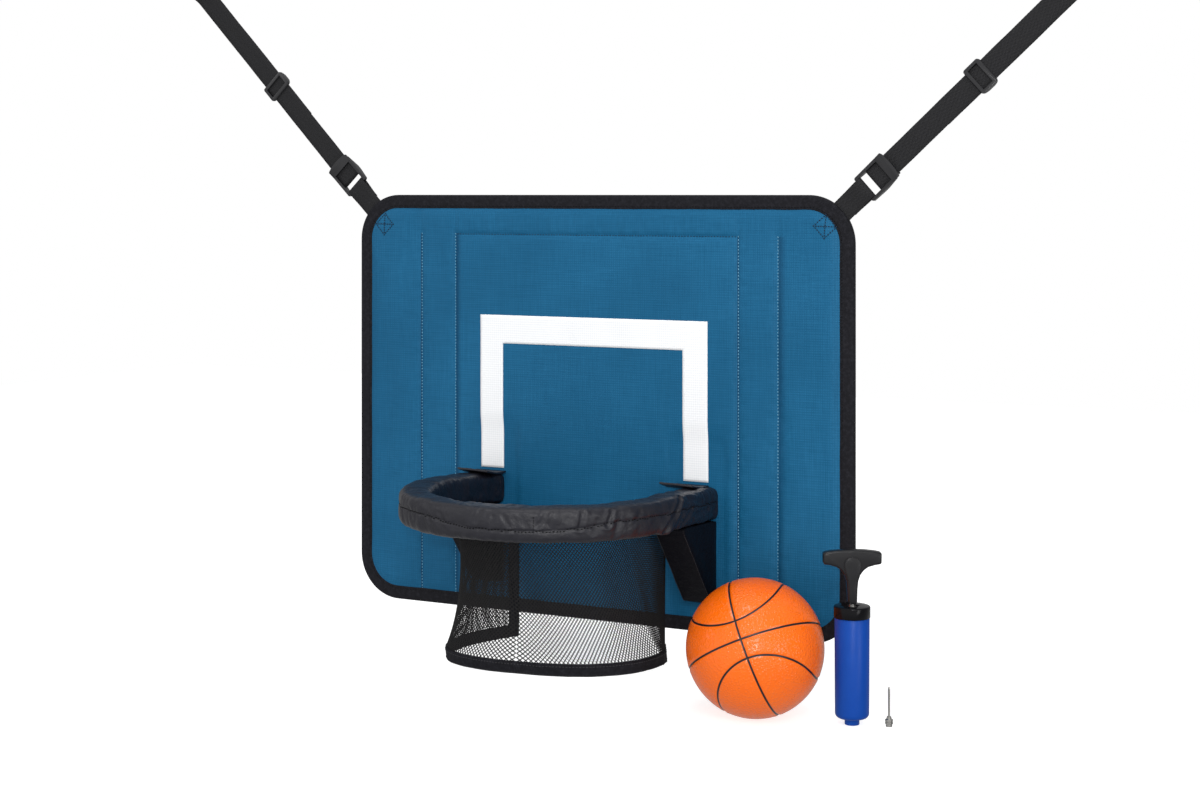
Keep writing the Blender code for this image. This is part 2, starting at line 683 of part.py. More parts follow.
def make_ladder_lock(side, frame):
    """Two rails joined by the eye bar, the ladder bar and a lifted thumb tab, all cut to one plan."""
    name = "ladder_lock_" + side
    reach = LOCK_BAR_RADIUS
    ladder_y = LOCK_WRAP_RADIUS
    tab_x = LOCK_LADDER_AT + LOCK_TAB_PITCH
    tab_middle = tab_x + LOCK_TAB_LENGTH / 2
    tab_end = tab_x + LOCK_TAB_LENGTH
    tab_back = -WEBBING_HALF - CLEARANCE
    tab_front = tab_back - LOCK_TAB_THICKNESS
    foot_x = LOCK_EYE_AT - reach - CLEARANCE
    spare = LOCK_BAR_RADIUS
    rail = [(foot_x - spare, reach), (foot_x - spare, -reach), (tab_x, tab_front + CLEARANCE)]
    rail += [(tab_middle, tab_front + CLEARANCE), (tab_middle, tab_back)]
    rail += [(LOCK_LADDER_AT + 2 * reach, ladder_y + reach), (LOCK_LADDER_AT - reach, ladder_y + reach)]
    lock = across_webbing(name, rail, HARDWARE_WIDTH)
    clear = HARDWARE_WIDTH
    window = block(name + "_window", (foot_x - clear, -clear, -RAIL_INNER), (tab_end, clear, RAIL_INNER))
    combine(lock, window, "DIFFERENCE")
    half = RAIL_INNER + RAIL_WIDTH / 2
    for bar, at in (("_eye_bar", (LOCK_EYE_AT, 0)), ("_ladder_bar", (LOCK_LADDER_AT, ladder_y))):
        combine(lock, rod(name + bar, LOCK_BAR_RADIUS, -half, half, 12, at=at), "UNION")
    lift = LOCK_TAB_LIFT
    tab = [(tab_x, tab_back), (tab_x, tab_front), (tab_middle, tab_front - lift / 3)]
    tab += [(tab_end + spare, tab_front - lift), (tab_end + spare, tab_back - lift)]
    tab += [(tab_middle, tab_back - lift / 4)]
    combine(lock, across_webbing(name + "_tab", tab, HARDWARE_WIDTH - CLEARANCE), "UNION")
    plan = outline_solid(name + "_plan", [lock_plan(foot_x, tab_end)], clear)
    place(plan, turn=(90, 0, 0))
    combine(lock, apply_place(plan), "INTERSECT")
    return place(finish(lock, BLACK_PLASTIC), parent=frame)


def lock_plan(low, high):
    """The buckle seen from the front: square at the eye bar, bowed at the thumb tab."""
    half_width = HARDWARE_WIDTH / 2 + CLEARANCE
    corner = RAIL_WIDTH / 2
    bow = RAIL_WIDTH
    crown = arc((0, 0), half_width, 90, -90, 12)
    crown = [(high - bow + x * bow / half_width, z) for x, z in crown]
    foot = [(low + corner, -half_width), (low, corner - half_width), (low, half_width - corner)]
    return foot + [(low + corner, half_width)] + crown


def make_slider(side, frame):
    """A tri-glide: end bars in front of the webbing, the middle bar behind its two layers."""
    name = "strap_slider_" + side
    front_back = -WEBBING_HALF - CLEARANCE
    front = front_back - SLIDER_BAR_DEPTH
    back = SLIDER_BACK + SLIDER_BAR_DEPTH
    half = SLIDER_LENGTH / 2
    chamfer = SLIDER_BAR_DEPTH / 2
    outline = [(-half, front + chamfer), (chamfer - half, front), (half - chamfer, front),
               (half, front + chamfer), (half, front_back + chamfer), (SLIDER_MIDDLE_BAR, back),
               (-SLIDER_MIDDLE_BAR, back), (-half, front_back + chamfer)]
    slider = across_webbing(name, outline, HARDWARE_WIDTH)
    low = (-SLIDER_LENGTH, front_back, -RAIL_INNER)
    passage = block(name + "_passage", low, (SLIDER_LENGTH, SLIDER_BACK, RAIL_INNER))
    combine(slider, passage, "DIFFERENCE")
    inner = half - SLIDER_BAR
    front_low = (-inner, front - SLIDER_BAR, -RAIL_INNER)
    window = block(name + "_window", front_low, (inner, front_back + CLEARANCE, RAIL_INNER))
    combine(slider, window, "DIFFERENCE")
    for sign in (-1, 1):
        reach = sorted((sign * SLIDER_MIDDLE_BAR / 2, sign * SLIDER_LENGTH))
        back_low = (reach[0], SLIDER_BACK - CLEARANCE, -RAIL_INNER)
        gap = block(name + "_gap", back_low, (reach[1], back + SLIDER_BAR, RAIL_INNER))
        combine(slider, gap, "DIFFERENCE")
    outline = rounded_rectangle(SLIDER_LENGTH, HARDWARE_WIDTH, RAIL_WIDTH)
    plan = outline_solid(name + "_plan", [outline], HARDWARE_WIDTH)
    place(plan, turn=(90, 0, 0))
    combine(slider, apply_place(plan), "INTERSECT")
    finish(slider, BLACK_PLASTIC)
    return place(slider, (SLIDER_AT, 0, 0), parent=frame)


# Hoop, in the frame of its fold line: forward is -Y

def rim_rise(y):
    """How far the rim has risen at y: it bends up over its arms and runs level round its bow."""
    share = max(-y - RIM_SQUARE_END, 0) / (RIM_ARM_LENGTH - RIM_SQUARE_END)
    return RIM_RISE * math.sin(min(share, 1) * math.pi / 2)


def rim_route():
    """The rim's centre line, from its left end at the board to its right end."""
    spread = RIM_RADIUS - RIM_HALF_WIDTH_AT_BOARD
    start_x = RIM_HALF_WIDTH_AT_BOARD
    arm = [(start_x, 0), (start_x, -RIM_SQUARE_END)]
    arm_steps = 4
    for index in range(1, arm_steps):
        share = index / arm_steps
        along = RIM_SQUARE_END + (RIM_ARM_LENGTH - RIM_SQUARE_END) * share
        arm.append((start_x + spread * math.sin(share * math.pi / 2), -along))
    bow = arc((0, -RIM_ARM_LENGTH), RIM_RADIUS, 180, 360, 22, RIM_FRONT_FLATTEN)
    left = [(-x, y) for x, y in arm]
    route = left + bow + arm[::-1]
    return [(x, y, RIM_MIDDLE + rim_rise(y)) for x, y in route]


def rim_section(inset, sides=20):
    """A square with very round corners."""
    points = []
    squareness = 2 / RIM_SECTION_POWER
    for index in range(sides):
        angle = 2 * math.pi * (index + 0.5) / sides
        across = math.copysign(abs(math.cos(angle)) ** squareness, math.cos(angle))
        up = math.copysign(abs(math.sin(angle)) ** squareness, math.sin(angle))
        points.append((across * (RIM_SECTION_WIDTH / 2 - inset), up * (RIM_SECTION_HEIGHT / 2 - inset)))
    return points


def make_rim(frame):
    """The fabric cover, open at both ends, and the foam core that fills it."""
    cover = sweep("rim_cover", rim_route(), rim_section(0))
    bore_route = rim_route()
    bore_route.insert(0, (bore_route[0][0], RIM_SECTION_WIDTH, RIM_MIDDLE))
    bore_route.append((bore_route[-1][0], RIM_SECTION_WIDTH, RIM_MIDDLE))
    combine(cover, sweep("rim_cover_bore", bore_route, rim_section(RIM_COVER_WALL, 16)), "DIFFERENCE")
    core = sweep("rim_core", rim_route(), rim_section(RIM_COVER_WALL + CLEARANCE, 16))
    place(finish(cover, BLACK_FABRIC, 60), parent=frame)
    place(finish(core, WHITE_FOAM, 60), parent=frame)


def make_tab(side, middle_x, frame):
    """The fabric tab on top of a rim end: it lies on the rim and its front edge lifts a little."""
    bend = -TAB_LENGTH * 0.7
    ease = TAB_LIFT * 0.15
    lifts = [(0, 0), (-RIM_SQUARE_END, 0), (bend / 2, 0), (bend, ease), (-TAB_LENGTH, TAB_LIFT)]
    face = [(y, rim_rise(y) + lift) for y, lift in lifts]
    outline = face + [(y, z - TAB_THICKNESS) for y, z in reversed(face)]
    tab = side_plate("rim_tab_" + side, [outline], TAB_WIDTH, middle_x)
    return place(finish(tab, BLACK_FABRIC), parent=frame)


def wedge_corners():
    """The wedge from the side as (y, z, radius): flat along the rim and the board, sloped in front."""
    top = RIM_BOTTOM - CLEARANCE
    nose = top + rim_rise(-WEDGE_REACH)
    bottom = top - WEDGE_HEIGHT
    small = WEDGE_COVER_WALL * 1.5
    return [(0, top, small), (-WEDGE_REACH, nose, WEDGE_NOSE_RADIUS),
            (-WEDGE_FOOT, bottom, WEDGE_FOOT_RADIUS), (0, bottom, small)]


def open_at_board(corners, board_y):
    """The same wedge with its board side moved to board_y, which leaves a cover cut with it open there."""
    lip = corners[0][0]
    return [(board_y if y == lip else y, z, radius) for y, z, radius in corners]


def make_wedge(side, middle_x, frame):
    """A sewn cover, open where it meets the board, and the foam in it."""
    corners = wedge_corners()
    cover = side_plate("wedge_cover_" + side, [rounded_corners(corners)], WEDGE_WIDTH, middle_x)
    bevel = cover.modifiers.new("soft_edges", "BEVEL")
    bevel.width = WEDGE_COVER_WALL
    bevel.segments = 2
    bevel.limit_method = "ANGLE"
    bevel.angle_limit = math.radians(60)
    inside = inset_corners(corners, WEDGE_COVER_WALL)
    pocket = open_at_board(inside, 2 * WEDGE_COVER_WALL)
    inner_width = WEDGE_WIDTH - 2 * WEDGE_COVER_WALL
    hollow = side_plate("wedge_pocket_" + side, [rounded_corners(pocket)], inner_width, middle_x)
    combine(cover, hollow, "DIFFERENCE")
    filling = inset_corners(corners, WEDGE_COVER_WALL + CLEARANCE)
    filling = open_at_board(filling, 0)
    foam_width = inner_width - 2 * CLEARANCE
    foam = side_plate("wedge_foam_" + side, [rounded_corners(filling)], foam_width, middle_x)
    place(finish(cover, BLACK_FABRIC), parent=frame)
    place(finish(foam, WHITE_FOAM), parent=frame)


def net_line(share, top):
    """A point (x, y) on the net's rim line or foot line; share runs 0 to 1 from left to right."""
    if top:
        wide = RIM_RADIUS - RIM_SECTION_WIDTH / 2 - CLEARANCE - NET_THICKNESS / 2
        centre_y = -RIM_ARM_LENGTH
        front = wide * RIM_FRONT_FLATTEN
        squareness, skew = 1, 0
    else:
        wide = NET_FOOT_RADIUS
        centre_y = -NET_FOOT_FRONT * NET_FOOT_CENTRE
        front = NET_FOOT_FRONT + centre_y
        squareness, skew = 2 / NET_FOOT_POWER, NET_FOOT_SKEW
    if NET_ARM_SHARE < share < 1 - NET_ARM_SHARE:
        angle = math.pi * (share - NET_ARM_SHARE) / (1 - 2 * NET_ARM_SHARE)
        across = math.copysign(abs(math.cos(angle)) ** squareness, math.cos(angle))
        point = Vector((-wide * across, centre_y - front * math.sin(angle) ** squareness))
    else:
        side = -1 if share <= 0.5 else 1
        along = min(share, 1 - share) / NET_ARM_SHARE
        start_y = -NET_BACK_GAP - NET_HEM_WIDTH
        skew *= along
        x = NET_BACK_HALF_WIDTH + (wide - NET_BACK_HALF_WIDTH) * math.sin(along * math.pi / 2)
        point = Vector((side * x, start_y + (centre_y - start_y) * along))
    point.y += skew * point.x
    return point


def net_point(share, drop):
    """A point on the net: share along it, drop 0 at the rim and 1 at the foot, with soft folds.

    Past either end of the share, the net runs on straight, which is where its hems lie.
    """
    inside = min(max(share, 0.0), 1.0)
    top, foot = net_line(inside, True), net_line(inside, False)
    flat = top.lerp(foot, drop)
    outward = Vector((flat.x, flat.y + RIM_ARM_LENGTH)).normalized()
    fade = min(min(inside, 1 - inside) / NET_ARM_SHARE, 1.0)
    fold = math.sin(2 * math.pi * NET_FOLDS * inside) * math.sin(math.pi * min(drop, 1))
    flat += outward * NET_FOLD_DEPTH * fade * fold
    drawn_in = math.sin(min(drop / NET_WAIST_AT, 1) * math.pi / 2) * max(1 - drop**3, 0)
    flat -= outward * NET_WAIST * fade * drawn_in
    if share != inside:
        step = NET_ARM_SHARE / 8
        inner = step if share < 0 else 1 - step
        back = net_line(inside, True).lerp(net_line(inside, False), drop)
        front = net_line(inner, True).lerp(net_line(inner, False), drop)
        flat += (back - front).normalized() * abs(share - inside) * net_length()
    raised = (rim_rise(top.y) + NET_TUCK * fade) * max(1 - drop, 0)
    return Vector((flat.x, flat.y, RIM_BOTTOM + raised - drop * NET_DROP))


def net_drop(share):
    """The drop of a row of the net: the rows lie closer where the net draws in under the rim."""
    return (share + share**2) / 2


def net_length():
    """The net's length along the rim, near enough to size its side hems by."""
    return math.pi * RIM_RADIUS + 2 * RIM_ARM_LENGTH


def net_sheet(name, shares, drops, keep, thickness):
    """A sheet over a grid of shares and drops, thickened to a closed solid."""
    work = bmesh.new()
    bmesh.ops.create_grid(work, x_segments=len(shares) - 1, y_segments=len(drops) - 1, size=1)
    columns, rows = len(shares), len(drops)
    for vertex in work.verts:
        column = round((vertex.co.x + 1) / 2 * (columns - 1))
        row = round((vertex.co.y + 1) / 2 * (rows - 1))
        vertex.co = net_point(shares[column], drops[row])
        vertex.index = column + row * columns
    spare = []
    for face in work.faces:
        column = min(vertex.index % columns for vertex in face.verts)
        row = min(vertex.index // columns for vertex in face.verts)
        if not keep(column, row):
            spare.append(face)
    bmesh.ops.delete(work, geom=spare, context="FACES")
    bmesh.ops.recalc_face_normals(work, faces=work.faces)
    mesh = bpy.data.meshes.new(name)
    work.to_mesh(mesh)
    work.free()
    sheet = add_object(name, mesh)
    wall = sheet.modifiers.new("wall", "SOLIDIFY")
    wall.thickness = thickness
    wall.offset = 0
    wall.use_even_offset = True
    return sheet


def make_net(frame):
    """The net as one thin folded sleeve, open at the back, and the hem round its free edges."""
    columns, rows = 6 * NET_FOLDS, 6
    seam_share = CLEARANCE / net_length()
    seam_drop = CLEARANCE / NET_DROP
    shares = [seam_share + (1 - 2 * seam_share) * index / columns for index in range(columns + 1)]
    drops = [(1 - seam_drop) * net_drop(index / rows) for index in range(rows + 1)]
    net = net_sheet("net", shares, drops, lambda column, row: True, NET_THICKNESS)
    hem_share = NET_HEM_WIDTH / net_length()
    hem_drop = NET_HEM_WIDTH / NET_DROP
    hem_shares = [-hem_share] + [index / columns for index in range(columns + 1)] + [1 + hem_share]
    hem_drops = [net_drop(index / rows) for index in range(rows + 1)] + [1 + hem_drop]
    last_column = len(hem_shares) - 2

    def on_edge(column, row):
        return row == rows or (row > 0 and column in (0, last_column))

    hem = net_sheet("net_hem", hem_shares, hem_drops, on_edge, NET_HEM_THICKNESS)
    place(finish(net, BLACK_MESH, 60), parent=frame)
    place(finish(hem, BLACK_FABRIC, 60), parent=frame)


# Ball

def groove_ring(name, latitude, swing, tilt=(0, 0, 0)):
    """A closed groove on the ball; its latitude swings twice a turn about the groove's own plane."""
    curve = bpy.data.curves.new(name, "CURVE")
    curve.dimensions = "3D"
    curve.bevel_depth = GROOVE_RADIUS
    curve.bevel_resolution = 0
    spline = curve.splines.new("POLY")
    steps = 48
    spline.points.add(steps - 1)
    for index, point in enumerate(spline.points):
        around = 2 * math.pi * (index + 0.5) / steps
        height = math.radians(latitude - swing * math.cos(2 * around))
        level = BALL_RADIUS * math.cos(height)
        point.co = (level * math.sin(around), BALL_RADIUS * math.sin(height), level * math.cos(around), 1)
    spline.use_cyclic_u = True
    return apply_place(place(as_mesh(add_object(name, curve)), turn=tilt))


def make_ball():
    """A hollow ball turned about its valve, with two ring grooves and two curved side grooves."""
    centre = (BALL_X, BALL_Y, FLOOR_Z + BALL_RADIUS)
    frame = add_empty("ball_centre", centre, BALL_TURN)
    bore = VALVE_RADIUS + CLEARANCE
    inner = BALL_RADIUS - BALL_WALL
    outer_edge = math.degrees(math.asin(bore / BALL_RADIUS))
    inner_edge = math.degrees(math.asin(bore / inner))
    profile = arc((0, 0), BALL_RADIUS, 90, outer_edge - 90, 16)
    profile += arc((0, 0), inner, inner_edge - 90, 90, 8)
    shell = turned("ball_shell", profile, 30, closed=False)
    rings = [("ring_groove", 0, 0, (0, 0, 0)), ("cross_groove", 0, 0, (0, 0, 90))]
    rings += [("upper_groove", SIDE_GROOVE_LATITUDE, SIDE_GROOVE_SWING, (0, 0, 0))]
    rings += [("lower_groove", -SIDE_GROOVE_LATITUDE, -SIDE_GROOVE_SWING, (0, 0, 0))]
    for name, latitude, swing, tilt in rings:
        combine(shell, groove_ring(name, latitude, swing, tilt), "DIFFERENCE")
    place(finish(shell, ORANGE_VINYL, 20), parent=frame)
    seat = -BALL_RADIUS + GROOVE_RADIUS
    plug_profile = [(0, seat + VALVE_LENGTH), (VALVE_RADIUS, seat + VALVE_LENGTH), (VALVE_RADIUS, seat),
                    (VALVE_HOLE_RADIUS, seat), (VALVE_HOLE_RADIUS, seat + VALVE_HOLE_DEPTH),
                    (0, seat + VALVE_HOLE_DEPTH)]
    valve = turned("ball_valve", plug_profile, 20, closed=False)
    place(finish(valve, BLACK_RUBBER), parent=frame)


# Hand pump, standing on its nozzle

def make_barrel(frame):
    foot = NOZZLE_HEIGHT
    floor = foot + BARREL_FLOOR
    recess = CHECK_VALVE_RADIUS + CLEARANCE
    seat = floor - CHECK_VALVE_THICKNESS - 2 * CLEARANCE
    round_centre = (BARREL_FOOT_RADIUS - BARREL_FOOT_ROUND, foot + BARREL_FOOT_ROUND)
    profile = [(BARREL_TOP_RADIUS, BARREL_TOP)]
    profile += arc(round_centre, BARREL_FOOT_ROUND, 0, -90, 5)
    profile += [(NOZZLE_RADIUS, foot), (NOZZLE_RADIUS, 0), (NEEDLE_SOCKET, 0)]
    profile += [(NEEDLE_SOCKET, NEEDLE_SOCKET_DEPTH), (AIR_HOLE_RADIUS, NEEDLE_SOCKET_DEPTH)]
    profile += [(AIR_HOLE_RADIUS, seat), (recess, seat), (recess, floor), (BARREL_BORE, floor)]
    profile += [(BARREL_BORE, BARREL_TOP)]
    place(finish(turned("pump_barrel", profile, 32), BLUE_PLASTIC), parent=frame)
    low = seat + CLEARANCE
    disc = [(0, low + CHECK_VALVE_THICKNESS), (CHECK_VALVE_RADIUS, low + CHECK_VALVE_THICKNESS),
            (CHECK_VALVE_RADIUS, low), (0, low)]
    place(finish(turned("check_valve", disc, 16, closed=False), BLACK_RUBBER), parent=frame)


def make_cap(frame):
    low = BARREL_TOP + CLEARANCE
    high = BARREL_TOP + CAP_HEIGHT
    skirt = BARREL_BORE - CLEARANCE
    bore = ROD_RADIUS + CLEARANCE
    profile = [(bore, high)]
    profile += arc((CAP_RADIUS - CAP_RIM_ROUND, high - CAP_RIM_ROUND), CAP_RIM_ROUND, 90, 0, 3)
    profile += [(CAP_RADIUS, low), (skirt, low), (skirt, BARREL_TOP - CAP_SKIRT)]
    profile += [(bore, BARREL_TOP - CAP_SKIRT)]
    place(finish(turned("pump_cap", profile, 32), BLACK_PLASTIC), parent=frame)


def make_piston(frame):
    """The piston with a groove for its ring seal, and a socket for the rod in its top."""
    low, high = PISTON_FOOT, PISTON_FOOT + PISTON_HEIGHT
    middle = (low + high) / 2
    ring_middle = PISTON_RADIUS - SEAL_RADIUS
    groove_half = SEAL_RADIUS + CLEARANCE
    groove_floor = ring_middle - groove_half
    socket = ROD_RADIUS + CLEARANCE
    profile = [(0, middle), (socket, middle), (socket, high), (PISTON_RADIUS, high),
               (PISTON_RADIUS, middle + groove_half), (groove_floor, middle + groove_half),
               (groove_floor, middle - groove_half), (PISTON_RADIUS, middle - groove_half),
               (PISTON_RADIUS, low), (0, low)]
    place(finish(turned("piston", profile, 24, closed=False), BLACK_PLASTIC), parent=frame)
    section = arc((ring_middle, middle), SEAL_RADIUS, 0, -300, 5)
    place(finish(turned("piston_seal", section, 24), BLACK_RUBBER), parent=frame)
    return middle + CLEARANCE


def make_rod(frame, low):
    high = STEM_FOOT + STEM_SOCKET
    profile = [(0, high), (ROD_RADIUS, high), (ROD_RADIUS, low), (0, low)]
    place(finish(turned("pump_rod", profile, 16, closed=False), STEEL), parent=frame)


def grip_outline():
    """The T handle from the front: an arched grip with drooping ends, and its shoulders."""
    half = GRIP_LENGTH / 2
    end_radius = GRIP_HEIGHT / 2 - GRIP_EDGE
    top = GRIP_HEIGHT / 2 - GRIP_EDGE
    side = half - GRIP_EDGE - end_radius
    end_z = -GRIP_DROOP
    right = [(STEM_RADIUS, -top - GRIP_DROOP), (STEM_RADIUS * 2, -top)]
    right += arc((side, end_z), end_radius, -100, 80, 8)
    right += [(side / 2, top - GRIP_DROOP / 4)]
    left = [(-x, z) for x, z in reversed(right)]
    return right + [(0, top)] + left


def make_handle(frame):
    """The grip bar, rounded all round, with its stem and the rod's socket."""
    curve = bpy.data.curves.new("pump_handle", "CURVE")
    curve.dimensions = "2D"
    curve.fill_mode = "BOTH"
    curve.extrude = GRIP_DEPTH / 2 - GRIP_EDGE
    curve.bevel_depth = GRIP_EDGE
    curve.bevel_resolution = 1
    spline = curve.splines.new("POLY")
    outline = grip_outline()
    spline.points.add(len(outline) - 1)
    for point, (x, y) in zip(spline.points, outline):
        point.co = (x, y, 0, 1)
    spline.use_cyclic_u = True
    grip = as_mesh(add_object("pump_handle", curve))
    place(grip, (0, 0, GRIP_MIDDLE), (90, 0, 0))
    apply_place(grip)
    stem = rod("handle_stem", STEM_RADIUS, STEM_FOOT, GRIP_MIDDLE, 20)
    combine(grip, stem, "UNION")
    socket_top = STEM_FOOT + STEM_SOCKET + CLEARANCE
    socket = rod("handle_socket", ROD_RADIUS + CLEARANCE, STEM_FOOT - CAP_HEIGHT, socket_top, 16)
    combine(grip, socket, "DIFFERENCE")
    place(finish(grip, BLACK_PLASTIC), parent=frame)


def make_pump():
    stand = add_empty("pump_stand", (PUMP_X, PUMP_Y, FLOOR_Z), (0, 0, PUMP_TURN))
    make_barrel(stand)
    make_cap(stand)
    plunger = add_empty("plunger_axis", (0, 0, 0), parent=stand)
    rod_foot = make_piston(plunger)
    make_rod(plunger, rod_foot)
    make_handle(plunger)


# Needle, standing on its threaded base

def make_needle():
    """A thread, a collar with a ring groove, a neck, and the steel tube set into the neck."""
    stand = add_empty("needle_stand", (NEEDLE_X, NEEDLE_Y, FLOOR_Z))
    wide = NEEDLE_BASE_RADIUS
    groove = NEEDLE_RING_GROOVE
    socket = NEEDLE_TUBE_RADIUS + CLEARANCE
    collar_low = NEEDLE_THREAD_LENGTH + NEEDLE_CHAMFER
    collar_top = NEEDLE_THREAD_LENGTH + NEEDLE_COLLAR_LENGTH
    ring = (collar_low + collar_top) / 2
    neck_low = collar_top + NEEDLE_BASE_RADIUS - NEEDLE_NECK_RADIUS - groove
    top = neck_low + NEEDLE_NECK_LENGTH
    seat = top - NEEDLE_TUBE_INSET
    profile = [(socket, top), (NEEDLE_NECK_RADIUS, top), (NEEDLE_NECK_RADIUS, neck_low), (wide, collar_top)]
    profile += [(wide, ring + groove), (wide - groove, ring + groove / 2), (wide - groove, ring - groove / 2)]
    profile += [(wide, ring - groove), (wide, collar_low), (NEEDLE_THREAD_RADIUS, NEEDLE_THREAD_LENGTH)]
    profile += [(NEEDLE_THREAD_RADIUS, 0), (NEEDLE_TUBE_BORE, 0), (NEEDLE_TUBE_BORE, seat), (socket, seat)]
    place(finish(turned("needle_base", profile, 18), STEEL), parent=stand)
    low = seat + CLEARANCE
    tip = NEEDLE_LENGTH
    point = NEEDLE_TUBE_RADIUS
    tip_radius = (NEEDLE_TUBE_BORE + 2 * point) / 3
    tube = [(NEEDLE_TUBE_BORE, tip), (tip_radius, tip), (point, tip - point), (point, low)]
    tube += [(NEEDLE_TUBE_BORE, low)]
    place(finish(turned("needle_tube", tube, 12), STEEL), parent=stand)


def main():
    slopes = [("left", STRAP_SLOPE_LEFT), ("right", STRAP_SLOPE_RIGHT)]
    make_back_panel()
    make_front_panel()
    make_edge_binding(slopes)
    make_core_board()
    make_target()
    for side, sign in (("left", -1), ("right", 1)):
        make_stay(side, sign)
    for side, slope in slopes:
        location, turn = strap_place(side, slope)
        frame = add_empty("strap_line_" + side, location, turn)
        make_anchor_strap(side, frame)
        make_ladder_lock(side, frame)
        make_hanging_strap(side, frame)
        make_slider(side, frame)
    fold = add_empty("hoop_fold_line", (HOOP_X, FRONT_Y - CLEARANCE, HINGE_Z))
    make_rim(fold)
    make_tab("left", -RIM_HALF_WIDTH_AT_BOARD, fold)
    make_tab("right", RIM_HALF_WIDTH_AT_BOARD - RIGHT_TAB_SHIFT, fold)
    make_wedge("left", -RIM_HALF_WIDTH_AT_BOARD, fold)
    make_wedge("right", RIM_HALF_WIDTH_AT_BOARD, fold)
    make_net(fold)
    make_ball()
    make_pump()
    make_needle()


main()
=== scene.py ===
# %% [markdown]
# # The looks of a hanging basketball hoop set
#
# The set is a soft fabric backboard with a padded rim and a net, hung by two webbing straps. A small
# ball, a hand pump and its needle stand below it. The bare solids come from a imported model, and this
# lesson dresses them: it builds each soft piece again as cloth, gives each moulded piece its soft
# edges, and paints both with patterns that the shader works out by itself.

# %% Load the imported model
import math

import bmesh
import bpy
from mathutils import Matrix, Vector, noise
from mathutils.bvhtree import BVHTree


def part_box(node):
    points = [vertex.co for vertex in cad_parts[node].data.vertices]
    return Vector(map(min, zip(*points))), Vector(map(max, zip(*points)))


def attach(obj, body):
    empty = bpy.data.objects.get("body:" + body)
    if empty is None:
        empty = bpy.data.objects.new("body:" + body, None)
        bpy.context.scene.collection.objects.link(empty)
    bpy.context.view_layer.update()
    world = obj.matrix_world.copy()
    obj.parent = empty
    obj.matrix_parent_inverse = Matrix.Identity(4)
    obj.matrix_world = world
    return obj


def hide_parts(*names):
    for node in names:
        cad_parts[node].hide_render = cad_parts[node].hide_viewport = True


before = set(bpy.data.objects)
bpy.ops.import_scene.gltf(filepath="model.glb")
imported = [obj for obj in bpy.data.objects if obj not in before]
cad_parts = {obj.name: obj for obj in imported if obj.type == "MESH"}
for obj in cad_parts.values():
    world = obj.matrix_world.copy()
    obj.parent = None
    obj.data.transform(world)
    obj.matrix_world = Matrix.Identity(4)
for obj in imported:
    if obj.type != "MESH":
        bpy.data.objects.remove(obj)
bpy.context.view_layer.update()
MM = 0.001
SIDES = {"left": -1, "right": 1}

# %% The board's sizes
BOARD_WIDTH = 600 * MM
BOARD_HEIGHT = 458 * MM
BOARD_CORNER = 50 * MM
CORNER_X = BOARD_WIDTH / 2 - BOARD_CORNER
CORNER_Z = BOARD_HEIGHT / 2 - BOARD_CORNER
FRONT_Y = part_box("edge_binding")[0].y
TAPE_COVER = 15 * MM
SEWN_LINES = [-217 * MM, -172.5 * MM, 172.5 * MM, 217 * MM]
TOP_SEAM_Z = 185.5 * MM

# %% [markdown]
# ## Shader maths as plain expressions
#
# A pattern such as a weave is a formula over the surface. Wiring a formula node by node is hard to
# read, so one small class stands for a socket and adds the Math node that each operator needs. Any
# other node comes from one method that takes its type, its settings and its sockets.

# %% A value in a shader


class Value:
    """A shader socket that works like a number in an expression."""

    def __init__(self, wiring, socket):
        self.wiring = wiring
        self.socket = socket

    def maths(self, operation, *others):
        """A Math node whose first operand is this value."""
        return self.wiring.maths(operation, self, *others)

    def __add__(self, other):
        return self.maths("ADD", other)

    def __sub__(self, other):
        return self.maths("SUBTRACT", other)

    def __rsub__(self, other):
        return self.wiring.maths("SUBTRACT", other, self)

    def __mul__(self, other):
        return self.maths("MULTIPLY", other)

    def __truediv__(self, other):
        return self.maths("DIVIDE", other)

    def __abs__(self):
        return self.maths("ABSOLUTE")

    __radd__ = __add__
    __rmul__ = __mul__


# %% A tree of nodes, and a finish under construction


class Wiring:
    """A tree of nodes that all come from one method."""

    def __init__(self, tree):
        self.tree = tree

    def feed(self, socket, value):
        if isinstance(value, Value):
            self.tree.links.new(value.socket, socket)
        else:
            socket.default_value = value

    def node(self, kind, settings=None, sockets=None, output=0):
        """Add a node: its settings first, then a value or a link for each named socket."""
        made = self.tree.nodes.new(kind)
        for key, value in (settings or {}).items():
            setattr(made, key, value)
        for key, value in (sockets or {}).items():
            self.feed(made.inputs[key], value)
        return Value(self, made.outputs[output])

    def maths(self, operation, *operands):
        return self.node("ShaderNodeMath", {"operation": operation}, dict(enumerate(operands)))

    def parts(self, point):
        """The three coordinates of a point."""
        return [self.node("ShaderNodeSeparateXYZ", None, {0: point}, axis) for axis in range(3)]

    def scaled(self, point, scale):
        return self.node("ShaderNodeVectorMath", {"operation": "SCALE"}, {0: point, "Scale": scale})

    def ease(self, value, low, high, start=0.0, end=1.0):
        """Runs smoothly from start to end while value runs from low to high."""
        sockets = {"Value": value, "From Min": low, "From Max": high, "To Min": start, "To Max": end}
        return self.node("ShaderNodeMapRange", {"interpolation_type": "SMOOTHSTEP"}, sockets)


